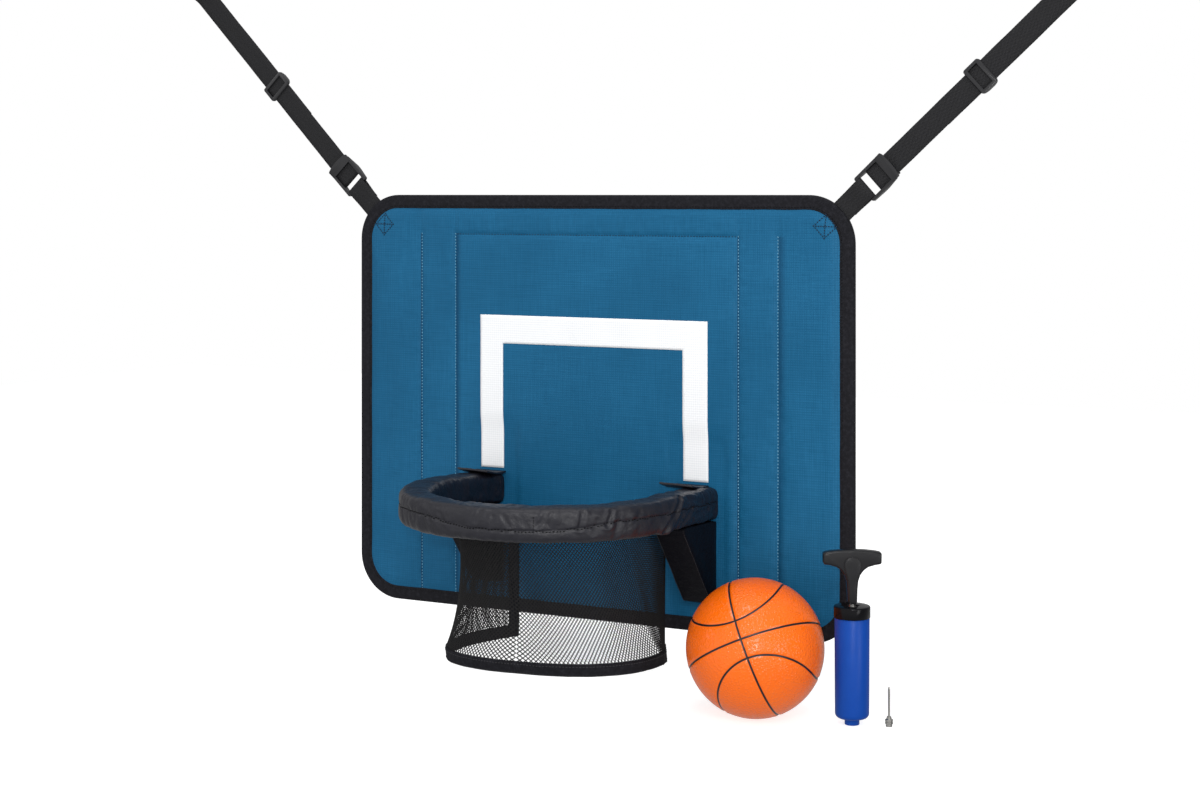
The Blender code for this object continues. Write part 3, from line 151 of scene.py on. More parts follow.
class Finish(Wiring):
    """A material with its main shader at hand."""

    def __init__(self, name, roughness=0.5, **fixed):
        self.material = bpy.data.materials.new(name)
        self.material.use_nodes = True
        super().__init__(self.material.node_tree)
        self.shader = self.tree.nodes["Principled BSDF"]
        self.paint(Roughness=roughness, **fixed)

    def paint(self, **inputs):
        """Set inputs of the main shader; an underscore stands for the space in an input's name."""
        for key, value in inputs.items():
            self.feed(self.shader.inputs[key.replace("_", " ")], value)

    def place(self, uv=None):
        """The point on the surface in millimetres, of the object or of a named map, and its parts."""
        if uv:
            point = self.node("ShaderNodeUVMap", {"uv_map": uv})
        else:
            point = self.node("ShaderNodeTexCoord", output="Object")
        sized = self.scaled(point, 1 / MM)
        return sized, self.parts(sized)

    def noise(self, point, size, detail=2, roughness=0.5):
        """Cloudy noise whose features are about size millimetres across."""
        sockets = {"Vector": point, "Scale": 1 / size, "Detail": detail, "Roughness": roughness}
        return self.node("ShaderNodeTexNoise", None, sockets)

    def wave(self, value, pitch, shift=0.0):
        """A sine of that pitch, from 0 to 1."""
        turn = value * (2 * math.pi / pitch) + shift
        return turn.maths("SINE") * 0.5 + 0.5

    def mix(self, share, first, second):
        """Blend two colours, each a triple or a colour value."""
        colours = [(*c, 1) if isinstance(c, tuple) else c for c in (first, second)]
        sockets = {0: share, 6: colours[0], 7: colours[1]}
        return self.node("ShaderNodeMix", {"data_type": "RGBA"}, sockets, output=2)

    def relief(self, height, depth, under=None):
        """Bump the surface by a height from 0 to 1 that stands for a depth in millimetres."""
        sockets = {"Height": height, "Distance": depth * MM, "Strength": 1.0}
        if under:
            sockets["Normal"] = under
        bumped = self.node("ShaderNodeBump", None, sockets)
        self.paint(Normal=bumped)
        return bumped


# %% [markdown]
# ## Camera and light
#
# The camera stands where the photographer's stood: a little right of the board, level, with the lens
# shifted down so that upright edges stay upright. The light of a product photo is one large soft
# source in front and a bright room all round, so the blacks still show their shape. Weaker lamps at
# both sides and above bring out the edges, and a small flash by the lens puts a glint on the ball. The
# photo was cut out on plain white, so the room is white too.

# %% The camera
CAMERA_PLACE = (1.0552, -1.9744, 0.2304)
CAMERA_TURN = 27.99
LENS = 62.16
LENS_SHIFT = -0.172


def link(thing):
    bpy.context.scene.collection.objects.link(thing)
    return thing


camera_data = bpy.data.cameras.new("photo_camera")
camera_data.sensor_width = 36
camera_data.lens = LENS
camera_data.shift_y = LENS_SHIFT
camera = link(bpy.data.objects.new("photo_camera", camera_data))
camera.location = CAMERA_PLACE
camera.rotation_euler = (math.radians(90), 0, math.radians(CAMERA_TURN))
bpy.context.scene.camera = camera
bpy.context.scene.view_settings.view_transform = "Standard"

# %% The room's light
ROOM_LEVELS = {"front": 0.98, "side": 0.30, "back": 0.45, "top": 0.8, "below": 0.5}
# Each lamp's place, the point that it aims at, its width and height in metres, and its watts
LAMPS = {
    "front_soft_box": ((1.3, -2.4, 1.3), (0.1, 0, -0.05), 0.8, 0.8, 18),
    "camera_flash": ((1.02, -2.0, 0.34), (0.2, 0, -0.1), 0.07, 0.07, 7),
    "right_soft_box": ((1.7, -0.75, -0.1), (0.25, -0.05, -0.2), 0.4, 0.7, 5),
    "side_soft_box": ((-2.0, -1.2, 0.9), (0, 0, -0.1), 0.4, 1.2, 4),
    "top_soft_box": ((0.2, -0.7, 2.2), (0.1, -0.1, -0.1), 1.0, 0.5, 12),
}


def light_the_room(levels):
    """A room with bright walls in front and dim ones at the sides, which the camera sees as plain white."""
    world = bpy.data.worlds.new("bright_room")
    world.use_nodes = True
    room = Wiring(world.node_tree)
    _, depth, height = room.parts(room.node("ShaderNodeTexCoord", output="Generated"))
    back = room.ease(depth, 0.1, 0.8, levels["side"], levels["back"])
    front = room.ease(depth, -0.75, -0.15, levels["front"], back)
    top = room.ease(height, 0.35, 0.9, front, levels["top"])
    lit = room.ease(height, -0.7, -0.1, levels["below"], top)
    seen = room.node("ShaderNodeLightPath", output="Is Camera Ray")
    background = room.tree.nodes["Background"]
    room.feed(background.inputs["Strength"], room.ease(seen, 0, 1, lit, 1.0))
    room.feed(background.inputs["Color"], (1, 1, 1, 1))
    bpy.context.scene.world = world


def soft_box(name, place, aim, width, height, watts):
    """A rectangular lamp at a place, turned towards the point it aims at."""
    lamp = bpy.data.lights.new(name, "AREA")
    lamp.shape = "RECTANGLE"
    lamp.size = width
    lamp.size_y = height
    lamp.energy = watts
    box = link(bpy.data.objects.new(name, lamp))
    box.location = place
    box.rotation_euler = (Vector(aim) - Vector(place)).to_track_quat("-Z", "Y").to_euler()


light_the_room(ROOM_LEVELS)
for lamp_name, lamp in LAMPS.items():
    soft_box(lamp_name, *lamp)

# %% [markdown]
# ## The finishes
#
# Each material is a formula in millimetres, so a weave keeps its real size on every piece. Ripstop
# nylon is a plain weave with a thicker thread every few millimetres, which makes a fine grid, and its
# blue carries painted shade beside the sewn lines. The coated nylon of the rim has no visible weave
# but creases and shines, and its creases carry painted light and shade. Webbing has ribs across it.

# %% Blue ripstop
BLUE = (0.005, 0.086, 0.186)
BLUE_LIT = (0.014, 0.132, 0.270)
BLUE_BROAD = (0.003, 0.068, 0.150)
# The darkest blue is painted shade for the bands beside the sewn lines
BLUE_PAINTED_SHADE = (0.002, 0.040, 0.100)
CLOTH_GLOSS = {"Specular_IOR_Level": 0.12}
RIPSTOP_PITCH = 2.5
THREAD_PITCH = 0.55
STREAKS = [(1 / 1.3, 1, 1 / 30), (1 / 34, 1, 1 / 1.1)]
# Painted shade: a darker band of blue beside each sewn line, where the cloth dips away from the
# light. From where to where off the line, in millimetres, and how deep
PAINTED_SEAM_SHADE = [(-1.2, 2.4, 0.95), (0.6, 10, 0.75), (-0.8, 2.6, 0.9), (0.6, 12, 0.6)]
PAINTED_SHADE_EDGE = 0.7


def grid_lines(finish, value, pitch, width):
    """1 on thin lines a pitch apart and 0 between them."""
    turn = (value / pitch).maths("FRACT")
    return finish.ease(abs(turn - 0.5), 0.5 - width / pitch, 0.5)


def ripstop():
    """A grid of thicker threads, streaks along single threads that took the dye differently, and painted
    shade beside each sewn line.
    """
    finish = Finish("blue_ripstop", 0.5, **CLOTH_GLOSS)
    point, (x, _, z) = finish.place()
    across = grid_lines(finish, x, RIPSTOP_PITCH, 0.9)
    down = grid_lines(finish, z, RIPSTOP_PITCH, 0.9)
    grid = across.maths("MAXIMUM", down)
    streaks = 0
    for stretch in STREAKS:
        stretched = finish.node("ShaderNodeMapping", None, {"Vector": point, "Scale": stretch})
        streaks = finish.noise(stretched, 1, 1) + streaks
    thread = finish.wave(x, THREAD_PITCH) * finish.wave(z, THREAD_PITCH)
    cloud = finish.noise(point, 60, 3)
    shade = streaks * 0.75 + cloud * 0.5 - grid * 0.42 - 0.36
    # Painted shade: the blue is darkened in a band beside each sewn line, below the top seam
    dips = 0
    for line, (near, far, depth) in zip(SEWN_LINES, PAINTED_SEAM_SHADE):
        start = line / MM + near
        shade_band = finish.ease(x, start - PAINTED_SHADE_EDGE, start) * finish.ease(x, start, line / MM + far, 1, 0)
        dips = shade_band * depth + dips
    seam = TOP_SEAM_Z / MM
    dips = dips * finish.ease(z, seam - 0.5, seam + 1.5, 1, 0)
    broad = finish.ease(finish.noise(point, 110, 1), 0.38, 0.62)
    dyed = finish.mix(broad * 0.28, finish.mix(shade, BLUE, BLUE_LIT), BLUE_BROAD)
    finish.paint(Base_Color=finish.mix(dips, dyed, BLUE_PAINTED_SHADE), Roughness=0.42 + cloud * 0.16)
    finish.relief(grid * 0.7 + thread * 0.1 + streaks * 0.3, 0.14)
    return finish.material


# %% Black cloths
def coated_nylon(name, dark, light, gloss):
    """Smooth coated cloth: fine creases, painted lighter where they rise and darker in their hollows."""
    finish = Finish(name, 0.42, Specular_IOR_Level=gloss)
    point, (x, y, z) = finish.place()
    crease = finish.noise(point, 9, 4, 0.6)
    fine = finish.noise(point, 1.6, 3, 0.6)
    weave = finish.wave(x + y, 0.6) * finish.wave(z, 0.6)
    # Painted light and shade: the colour follows the crease noise that also raises the surface, lighter on
    # the rises and darker in the hollows
    finish.paint(Base_Color=finish.mix(crease, dark, light), Roughness=0.32 + fine * 0.2)
    ground = finish.relief(crease, 1.1)
    finish.relief(fine * 0.6 + weave * 0.4, 0.08, ground)
    return finish.material


def ribbed_tape():
    """Binding tape: a tight weave with fine ribs across its length."""
    finish = Finish("binding_tape", 0.72, **CLOTH_GLOSS)
    point, _ = finish.place()
    _, (along, across, _) = finish.place("weave")
    rib = finish.wave(along, 1.1)
    twill = finish.wave(along + across * 1.4, 1.5)
    cloud = finish.noise(point, 7, 3)
    crumple = finish.ease(finish.noise(point, 4, 4, 0.7), 0.42, 0.72)
    tone = rib * 0.2 + twill * 0.2 + cloud * 0.25 + crumple * 0.45
    finish.paint(Base_Color=finish.mix(tone, (0.002, 0.002, 0.003), (0.022, 0.022, 0.028)))
    finish.relief(rib * 0.5 + twill * 0.5, 0.14)
    return finish.material


def webbing():
    """Heavy webbing: raised ribs across it, broken by lengthwise rows, and plain edges."""
    finish = Finish("webbing", 0.66, **CLOTH_GLOSS)
    _, (along, across, _) = finish.place("weave")
    row = (across / 2.4).maths("FRACT")
    shift = finish.ease(row, 0.45, 0.55) * math.pi
    rib = finish.wave(along, 1.7, shift)
    gap = finish.wave(across, 1.2)
    height = rib * 0.75 + gap * 0.25
    finish.paint(Base_Color=finish.mix(height, (0.005, 0.005, 0.006), (0.032, 0.032, 0.034)))
    finish.relief(height, 0.32)
    return finish.material


# %% Prints, threads and the net
def white_print():
    finish = Finish("white_print", 0.5, **CLOTH_GLOSS)
    point, (x, _, z) = finish.place()
    grid = grid_lines(finish, x, RIPSTOP_PITCH, 0.7) + grid_lines(finish, z, RIPSTOP_PITCH, 0.7)
    cloud = finish.noise(point, 40, 2)
    tone = grid * 0.5 + cloud * 0.3
    finish.paint(Base_Color=finish.mix(tone, (0.90, 0.91, 0.92), (0.78, 0.80, 0.83)))
    finish.relief(grid, 0.06)
    return finish.material


def thread(name, dark, light, gloss=0.3):
    """Twisted sewing thread."""
    finish = Finish(name, 0.6, Specular_IOR_Level=gloss)
    _, (x, y, z) = finish.place()
    twist = finish.wave(x + y + z, 0.5)
    finish.paint(Base_Color=finish.mix(twist, dark, light))
    return finish.material


def net_yarn():
    finish = Finish("net_yarn", 0.8, **CLOTH_GLOSS)
    point, _ = finish.place()
    fuzz = finish.noise(point, 1.2, 2)
    finish.paint(Base_Color=finish.mix(fuzz, (0.008, 0.008, 0.009), (0.028, 0.027, 0.027)))
    finish.relief(fuzz, 0.1)
    return finish.material


# %% Moulded plastics, rubber and steel
def moulded(name, dark, light, roughness, gloss=0.4, grain=0.5, depth=0.03):
    """Moulded plastic: nearly even, with a fine grain and slight wear in its gloss."""
    finish = Finish(name, roughness, Specular_IOR_Level=gloss)
    point, _ = finish.place()
    cloud = finish.noise(point, 12, 3)
    fine = finish.noise(point, grain, 2)
    finish.paint(Base_Color=finish.mix(cloud, dark, light), Roughness=roughness - 0.05 + cloud * 0.1)
    finish.relief(fine, depth)
    return finish.material


def steel():
    finish = Finish("needle_steel", 0.28, Metallic=1.0)
    point, (_, _, z) = finish.place()
    turned_lines = finish.noise(point, 0.6, 3) * 0.5 + finish.wave(z, 0.35) * 0.5
    finish.paint(Base_Color=finish.mix(turned_lines, (0.26, 0.255, 0.24), (0.46, 0.45, 0.43)))
    finish.paint(Roughness=0.22 + turned_lines * 0.12)
    return finish.material


def foam():
    finish = Finish("foam", 0.9)
    point, _ = finish.place()
    cells = finish.noise(point, 0.8, 2)
    finish.paint(Base_Color=finish.mix(cells, (0.72, 0.72, 0.7), (0.85, 0.85, 0.83)))
    finish.relief(cells, 0.2)
    return finish.material


RIPSTOP = ripstop()
NYLON = coated_nylon("coated_nylon", (0.004, 0.004, 0.008), (0.011, 0.011, 0.018), 0.42)
# The wedge covers get a darker, duller copy of the rim's nylon: its darker colour is painted shade, as the
# wedges lie in the rim's shadow
WEDGE_NYLON_PAINTED_SHADE = coated_nylon("wedge_nylon_painted_shade", (0.003, 0.003, 0.005), (0.006, 0.006, 0.009), 0.07)
TAPE = ribbed_tape()
WEBBING = webbing()
PRINT = white_print()
BLUE_THREAD = thread("blue_thread", (0.09, 0.27, 0.40), (0.18, 0.42, 0.58))
NAVY_THREAD = thread("navy_thread", (0.002, 0.012, 0.03), (0.006, 0.03, 0.07))
GREY_THREAD = thread("grey_thread", (0.02, 0.02, 0.022), (0.05, 0.05, 0.055))
BLACK_THREAD = thread("black_thread", (0.001, 0.001, 0.001), (0.006, 0.006, 0.007), 0.1)
YARN = net_yarn()
BUCKLE = moulded("buckle_acetal", (0.010, 0.010, 0.012), (0.018, 0.018, 0.020), 0.34)
PUMP_BLACK = moulded("pump_black", (0.004, 0.004, 0.005), (0.008, 0.008, 0.010), 0.3, 0.3, 0.9, 0.09)
PUMP_CAP = moulded("pump_cap", (0.003, 0.003, 0.004), (0.006, 0.006, 0.007), 0.14, 0.12)
PUMP_BLUE = moulded("pump_blue", (0.001, 0.047, 0.30), (0.002, 0.057, 0.345), 0.38, 0.18)
SHEET_PLASTIC = moulded("sheet_plastic", (0.55, 0.55, 0.5), (0.62, 0.62, 0.57), 0.5)
RUBBER = moulded("soft_rubber", (0.016, 0.016, 0.016), (0.026, 0.026, 0.026), 0.6)
STEEL = steel()
FOAM = foam()
print("finishes made")

# %% [markdown]
# ## Shapes from a stretched grid
#
# Cloth, tape and webbing are all made from flat strips, so most pieces here start as one flat grid
# whose points are then moved onto a surface. The same call lays the grid's map, in real units along
# and across the strip, so that the ribs and threads follow the piece round each bend.

# %% From a grid to a piece


def to_object(name, work):
    """Turn a mesh under construction into a piece."""
    mesh = bpy.data.meshes.new(name)
    work.to_mesh(mesh)
    work.free()
    mesh.shade_smooth()
    return link(bpy.data.objects.new(name, mesh))


def dress(thing, body, material, slot, *nodes):
    """Give a piece its finish and its body, and hide the bare solids that it stands for."""
    thing.data.materials.clear()
    thing.data.materials.append(material)
    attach(thing, body)
    if nodes:
        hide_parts(*nodes)
    return thing


def stretched_grid(columns, rows, place, weave=None):
    """A grid whose point at column c and row r lies at place(c, r), with its map from weave(c, r)."""
    work = bmesh.new()
    bmesh.ops.create_grid(work, x_segments=columns, y_segments=rows, size=1)
    spots = {}
    for vertex in work.verts:
        column = round((vertex.co.x + 1) / 2 * columns)
        row = round((vertex.co.y + 1) / 2 * rows)
        spots[vertex] = (column, row)
        vertex.co = place(column, row)
    if weave:
        layer = work.loops.layers.uv.new("weave")
        for face in work.faces:
            for loop in face.loops:
                loop[layer].uv = weave(*spots[loop.vert])
    return work


def welded(work, gap=0.02 * MM):
    """Weld the points that meet, such as the edges of a rolled-up grid, and turn the faces outwards."""
    bmesh.ops.remove_doubles(work, verts=work.verts, dist=gap)
    bmesh.ops.recalc_face_normals(work, faces=work.faces)
    return work


def facing_front(work):
    """Turn every face of a sheet to the front."""
    for face in work.faces:
        face.normal_update()
        if face.normal.y > 0:
            face.normal_flip()
    return work


def close_ends(work):
    """Close the open ends of a tube."""
    bmesh.ops.holes_fill(work, edges=[edge for edge in work.edges if edge.is_boundary], sides=0)
    return work


def moved(work, matrix):
    bmesh.ops.transform(work, matrix=matrix, verts=work.verts)
    return work


def stations(breaks, pitch):
    """Coordinates no more than a pitch apart that include every break."""
    points = [breaks[0]]
    for start, end in zip(breaks, breaks[1:]):
        steps = max(1, math.ceil(abs(end - start) / pitch))
        points += [start + (end - start) * step / steps for step in range(1, steps + 1)]
    return points


def path_length(points):
    """How far each point lies along the path."""
    lengths = [0.0]
    for here, there in zip(points, points[1:]):
        lengths.append(lengths[-1] + (Vector(there) - Vector(here)).length)
    return lengths


def evenly(points, pitch):
    """Points a pitch apart along a path, each with the path's direction there."""
    lengths = path_length(points)
    count = max(1, round(lengths[-1] / pitch))
    spots = []
    segment = 0
    for index in range(count + 1):
        target = lengths[-1] * index / count
        while segment < len(points) - 2 and lengths[segment + 1] < target:
            segment += 1
        start, end = Vector(points[segment]), Vector(points[segment + 1])
        share = (target - lengths[segment]) / (lengths[segment + 1] - lengths[segment])
        spots.append((start.lerp(end, share), (end - start).normalized()))
    return spots


def applied(thing):
    """The mesh of a piece with its modifiers worked in."""
    bpy.context.view_layer.update()
    evaluated = thing.evaluated_get(bpy.context.evaluated_depsgraph_get())
    mesh = bpy.data.meshes.new_from_object(evaluated, preserve_all_data_layers=True,
                                           depsgraph=bpy.context.evaluated_depsgraph_get())
    thing.modifiers.clear()
    thing.data = mesh
    return thing


def smoothed(thing):
    """One more level of smooth faces, worked in."""
    surface = thing.modifiers.new("smooth", "SUBSURF")
    surface.levels = 1
    surface.render_levels = 1
    return applied(thing)


def soft_edges(thing, width, segments=2, angle=40, even=False):
    """Round every edge that is sharper than an angle in degrees, worked in."""
    bevel = thing.modifiers.new("soft_edges", "BEVEL")
    bevel.width = width
    bevel.segments = segments
    bevel.limit_method = "ANGLE"
    bevel.angle_limit = math.radians(angle)
    bevel.harden_normals = even
    return applied(thing)


def thicken(thing, thickness, offset=0):
    """Give a sheet its thickness, on both sides of it or on the side that offset says."""
    wall = thing.modifiers.new("wall", "SOLIDIFY")
    wall.thickness = thickness
    wall.offset = offset
    return applied(thing)


def clamp(value, low=0.0, high=1.0):
    return max(low, min(value, high))


def bump(away, width, power=2):
    """1 at a line and falling smoothly to 0 some widths away from it."""
    return math.exp(-((away / width) ** power))


def ripple(point, size, seed=0.0):
    """Smooth noise between about -1 and 1 whose features are size millimetres across."""
    return noise.noise(Vector(point) / (size * MM) + Vector((seed, seed * 1.7, seed * 0.6)))


def crinkle(point, size, seed):
    """1 along thin wandering lines, and 0 between them."""
    return max(0.0, 1 - abs(ripple(point, size, seed)) * 4)


# %% [markdown]
# ## The quilted board
#
# The backboard is two sheets of ripstop with a stiff board and two stays between them. Four sewn
# lines and one across the top pinch the sheets together, and the cloth between them is a little
# slack. Cloth simulation gives that slack its own soft swells: the sheet starts flat and two percent
# too large, its border and sewn lines are pinned, and a steady push from inside lifts the rest. A
# formula adds the fuller swells and the small puckers beside each seam.

# %% Distances on the board
SHEET_PITCH = 5 * MM
SHEET_INSET = 7 * MM
SEWN_Y = FRONT_Y + 1.1 * MM


def inside_board(x, z, inset):
    """The nearest point to (x, z) on or inside the board's rounded outline, moved in by inset."""
    radius = BOARD_CORNER - inset
    core = Vector((clamp(x, -CORNER_X, CORNER_X), clamp(z, -CORNER_Z, CORNER_Z)))
    offset = Vector((x, z)) - core
    if offset.length > radius:
        offset = offset.normalized() * radius
    return core + offset


def edge_distance(x, z):
    """How far (x, z) lies inside the board's outline, up to the radius of its corners."""
    return BOARD_CORNER - Vector((max(abs(x) - CORNER_X, 0), max(abs(z) - CORNER_Z, 0))).length


def off_sewn_line(x):
    """How far x lies from the nearest of the four upright seams."""
    return min(abs(x - line) for line in SEWN_LINES)


# %% A sheet of ripstop, pinned and swollen
BESIDE_SEAM = [-6 * MM, -2.2 * MM, 0, 2.2 * MM, 6 * MM]
ON_SEAM = 0.1 * MM
# How far the cloth swells between its sewn lines and how soon, in millimetres, panel by panel
SWELLS = [(1.7, 6), (1.1, 3), (1.9, 5), (1.1, 3), (1.9, 6)]
SWELL_OVER_SEAM = (1.3, 3)
SWELL_UNDER_SEAM = (1.9, 2.6)
MIDDLE_PANEL = 2
OUTER_SOFTNESS = 2.2
INNER_SOFTNESS = 0.9
SEAM_PUCKER = 1.5
TAPE_PUCKER = 1.3
PUCKER_REACH = 13
LINE_GATHER = 0.3
LINE_GATHER_REACH = 7
CLOTH_DRIFT = 1.5 * MM
CLOTH_RISE = 1.2 * MM
# Behind the rim's ends and the tabs the cloth stays nearly flat; elsewhere it may stand off further
HELD_FROM_X = 90 * MM
HELD_TO_X = 160 * MM
HELD_FOOT_Z = -215 * MM
HELD_TOP_Z = -34 * MM
HELD_FADE = 26 * MM
HELD_LIMIT = 0.1 * MM
SWELL_LIMIT = 2.1 * MM


def flat_sheet(y):
    """A flat sheet inside the board's outline; its points fall on every sewn line."""
    half_x, half_z = BOARD_WIDTH / 2 - SHEET_INSET, BOARD_HEIGHT / 2 - SHEET_INSET
    rim = TAPE_COVER - SHEET_INSET
    beside = [line + side for line in SEWN_LINES for side in BESIDE_SEAM]
    across = stations([-half_x, -half_x + rim, *beside, half_x - rim, half_x], SHEET_PITCH)
    seam = [TOP_SEAM_Z + side for side in BESIDE_SEAM]
    down = stations([-half_z, -half_z + rim, *seam, half_z - rim, half_z], SHEET_PITCH)

    def place(column, row):
        spot = inside_board(across[column], down[row], SHEET_INSET)
        return (spot.x, y, spot.y)

    work = stretched_grid(len(across) - 1, len(down) - 1, place)
    bmesh.ops.remove_doubles(work, verts=work.verts, dist=0.01 * MM)
    bmesh.ops.dissolve_degenerate(work, edges=work.edges, dist=0.01 * MM)
    return facing_front(work)


def sewn_down(x, z):
    on_line = off_sewn_line(x) < ON_SEAM and z < TOP_SEAM_Z + ON_SEAM
    on_seam = abs(z - TOP_SEAM_Z) < ON_SEAM and abs(x) < abs(SEWN_LINES[1]) + ON_SEAM
    return on_line or on_seam


def swell(thing, pinned, push, slack, steps):
    """Let a flat sheet settle under a push along -Y, with its pinned points held."""
    group = thing.vertex_groups.new(name="pinned")
    group.add(pinned, 1.0, "REPLACE")
    scene = bpy.context.scene
    gravity = scene.gravity.copy()
    scene.gravity = (0, -push, 0)
    cloth = thing.modifiers.new("settle", "CLOTH")
    settings = cloth.settings
    settings.vertex_group_mass = "pinned"
    settings.quality = 6
    settings.mass = 0.2
    settings.tension_stiffness = 20
    settings.compression_stiffness = 20
    settings.shear_stiffness = 8
    settings.bending_stiffness = 0.6
    settings.shrink_min = -slack
    cloth.collision_settings.use_collision = False
    for step in range(1, steps + 1):
        scene.frame_set(step)
    applied(thing)
    scene.frame_set(1)
    scene.gravity = gravity
    thing.vertex_groups.clear()


def puff(x, z):
    """Millimetres that the slack cloth stands off its sewn lines at a point, with its small puckers."""
    nearest = off_sewn_line(x) / MM
    off_seam = abs(z - TOP_SEAM_Z) / MM
    off_tape = abs(BOARD_HEIGHT / 2 - TAPE_COVER - z) / MM
    panel = sum(x > line for line in SEWN_LINES)
    middle = panel == MIDDLE_PANEL
    height, reach = SWELL_OVER_SEAM if middle and z > TOP_SEAM_Z else SWELLS[panel]
    rise = height * (1 - math.exp(-nearest / reach))
    if middle:
        height, reach = SWELL_UNDER_SEAM
        rise = min(rise, height * (1 - math.exp(-off_seam / reach)))
    softness = OUTER_SOFTNESS if panel in (0, len(SEWN_LINES)) else INNER_SOFTNESS
    soft = softness * ripple((x, 0, z * 0.3), 28, 11)
    pucker = SEAM_PUCKER * ripple((x, 0, z * 0.05), 9, 4) * math.exp(-off_seam / PUCKER_REACH) * middle
    pucker += TAPE_PUCKER * ripple((x, 0, z * 0.05), 11, 6) * math.exp(-off_tape / PUCKER_REACH)
    gather = LINE_GATHER * ripple((0, 0, z), 9, 13) * math.exp(-nearest / LINE_GATHER_REACH)
    return rise + (soft + pucker + gather) * min(nearest / 5, 1)


def held_flat(x, z):
    """1 behind the rim's ends and where the tabs fold up, and 0 a little way off them."""
    if not (HELD_FROM_X < abs(x) < HELD_TO_X and z > HELD_FOOT_Z):
        return 0
    above = clamp((z - HELD_TOP_Z) / HELD_FADE)
    return 1 - above * above * (3 - 2 * above)


def front_sheet():
    sheet = to_object("front_cloth", flat_sheet(SEWN_Y))
    pinned = []
    for vertex in sheet.data.vertices:
        spot = vertex.co
        if sewn_down(spot.x, spot.z):
            pinned.append(vertex.index)
            continue
        if edge_distance(spot.x, spot.z) < TAPE_COVER - 2 * MM:
            pinned.append(vertex.index)
        spot.y -= 0.15 * MM * (1 + ripple(spot, 22))
    starts = [vertex.co.copy() for vertex in sheet.data.vertices]
    swell(sheet, pinned, push=6.0, slack=0.02, steps=18)
    for vertex, start in zip(sheet.data.vertices, starts):
        move = vertex.co - start
        drift = [clamp(part, -CLOTH_DRIFT, CLOTH_DRIFT) for part in (move.x, move.z)]
        rise = clamp(-move.y, 0.0, CLOTH_RISE) + puff(start.x, start.z) * MM
        lowest = FRONT_Y - HELD_LIMIT - SWELL_LIMIT * (1 - held_flat(start.x, start.z))
        clear = clamp((edge_distance(start.x, start.z) - TAPE_COVER - 1 * MM) / (11 * MM))
        level = SEWN_Y - 0.1 * MM
        highest = level + (lowest - level) * clear * (2 - clear)
        vertex.co = start + Vector((drift[0], 0, drift[1]))
        vertex.co.y = max(start.y - rise, highest)
    return smoothed(sheet)


front_cloth = front_sheet()
dress(front_cloth, "root", RIPSTOP, "board_fabric", "front_panel")
print("front cloth", len(front_cloth.data.polygons), "faces, y from",
      round(min(v.co.y for v in front_cloth.data.vertices) / MM, 2))


# %% The back sheet lies almost flat


def back_sheet():
    work = flat_sheet(-0.3 * MM)
    for face in work.faces:
        face.normal_flip()
    for vertex in work.verts:
        spot = vertex.co
        free = min(edge_distance(spot.x, spot.z) / (20 * MM), 1.0)
        lift = 0.25 * min(off_sewn_line(spot.x) / (14 * MM), 1.0) * free * (1 + 0.5 * ripple(spot, 50, 3))
        vertex.co.y = (lift - 0.5) * MM
    return smoothed(to_object("back_cloth", work))


back_cloth = back_sheet()
dress(back_cloth, "root", RIPSTOP, "board_fabric", "back_panel")

# %% [markdown]
# ## The rim
#
# The rim is a bar of foam in a sewn nylon cover, bent into a horseshoe. Its section is a square with
# very round corners, carried along a route of two arms and a bow. The cover is a little too large
# for the foam, so it creases across the bar, most on the inside of the bend and at the two ends.

# %% The route of the rim
HINGE_Z = -74.6 * MM
CONTACT_Y = FRONT_Y - 0.3 * MM
RIM_RADIUS = 134.5 * MM
RIM_END_X = 129 * MM
RIM_ARM = 106 * MM
RIM_FLATTEN = 0.975
RIM_WIDTH = 35 * MM
RIM_HEIGHT = 34.5 * MM
RIM_SQUARENESS = 4.4
RIM_SQUARE_END = 4 * MM
RIM_RISE = 4.5 * MM
HOOP_X = 3 * MM
RIM_MIDDLE_Z = HINGE_Z - 1.9 * MM - RIM_HEIGHT / 2
RIM_BOTTOM_Z = RIM_MIDDLE_Z - RIM_HEIGHT / 2


def rim_rise(reach):
    """How far the rim has risen at a reach from the board: it bends up over its arms."""
    share = max(reach - RIM_SQUARE_END, 0) / (RIM_ARM - RIM_SQUARE_END)
    return RIM_RISE * math.sin(min(share, 1) * math.pi / 2)


def rim_path(steps):
    """The rim's centre line from its left end round the bow to its right end."""
    points = []
    spread = RIM_RADIUS - RIM_END_X
    for index in range(steps):
        share = index / steps
        points.append((-RIM_END_X - spread * math.sin(share * math.pi / 2), CONTACT_Y - RIM_ARM * share))
    for index in range(3 * steps + 1):
        angle = math.pi * index / (3 * steps)
        points.append((-RIM_RADIUS * math.cos(angle),
                       CONTACT_Y - RIM_ARM - RIM_RADIUS * RIM_FLATTEN * math.sin(angle)))
    points += [(-x, y) for x, y in reversed(points[:steps])]
    return [Vector((x + HOOP_X, y, RIM_MIDDLE_Z + rim_rise(CONTACT_Y - y))) for x, y in points]


def outwards(along):
    """The level direction away from the hoop's middle, beside a direction along the rim."""
    return Vector((along.y, -along.x, 0)).normalized()


def rim_section(count):
    """Even steps round the section, a square with very round corners, from its bottom to its front."""
    power = 2 / RIM_SQUARENESS
    fine = []
    for index in range(721):
        angle = math.radians(index / 2 - 90)
        across = math.copysign(abs(math.cos(angle)) ** power, math.cos(angle))
        up = math.copysign(abs(math.sin(angle)) ** power, math.sin(angle))
        fine.append(Vector((across * RIM_WIDTH / 2, up * RIM_HEIGHT / 2, 0)))
    girth = path_length(fine)[-1]
    return [spot for spot, _ in evenly(fine, girth / count)], girth


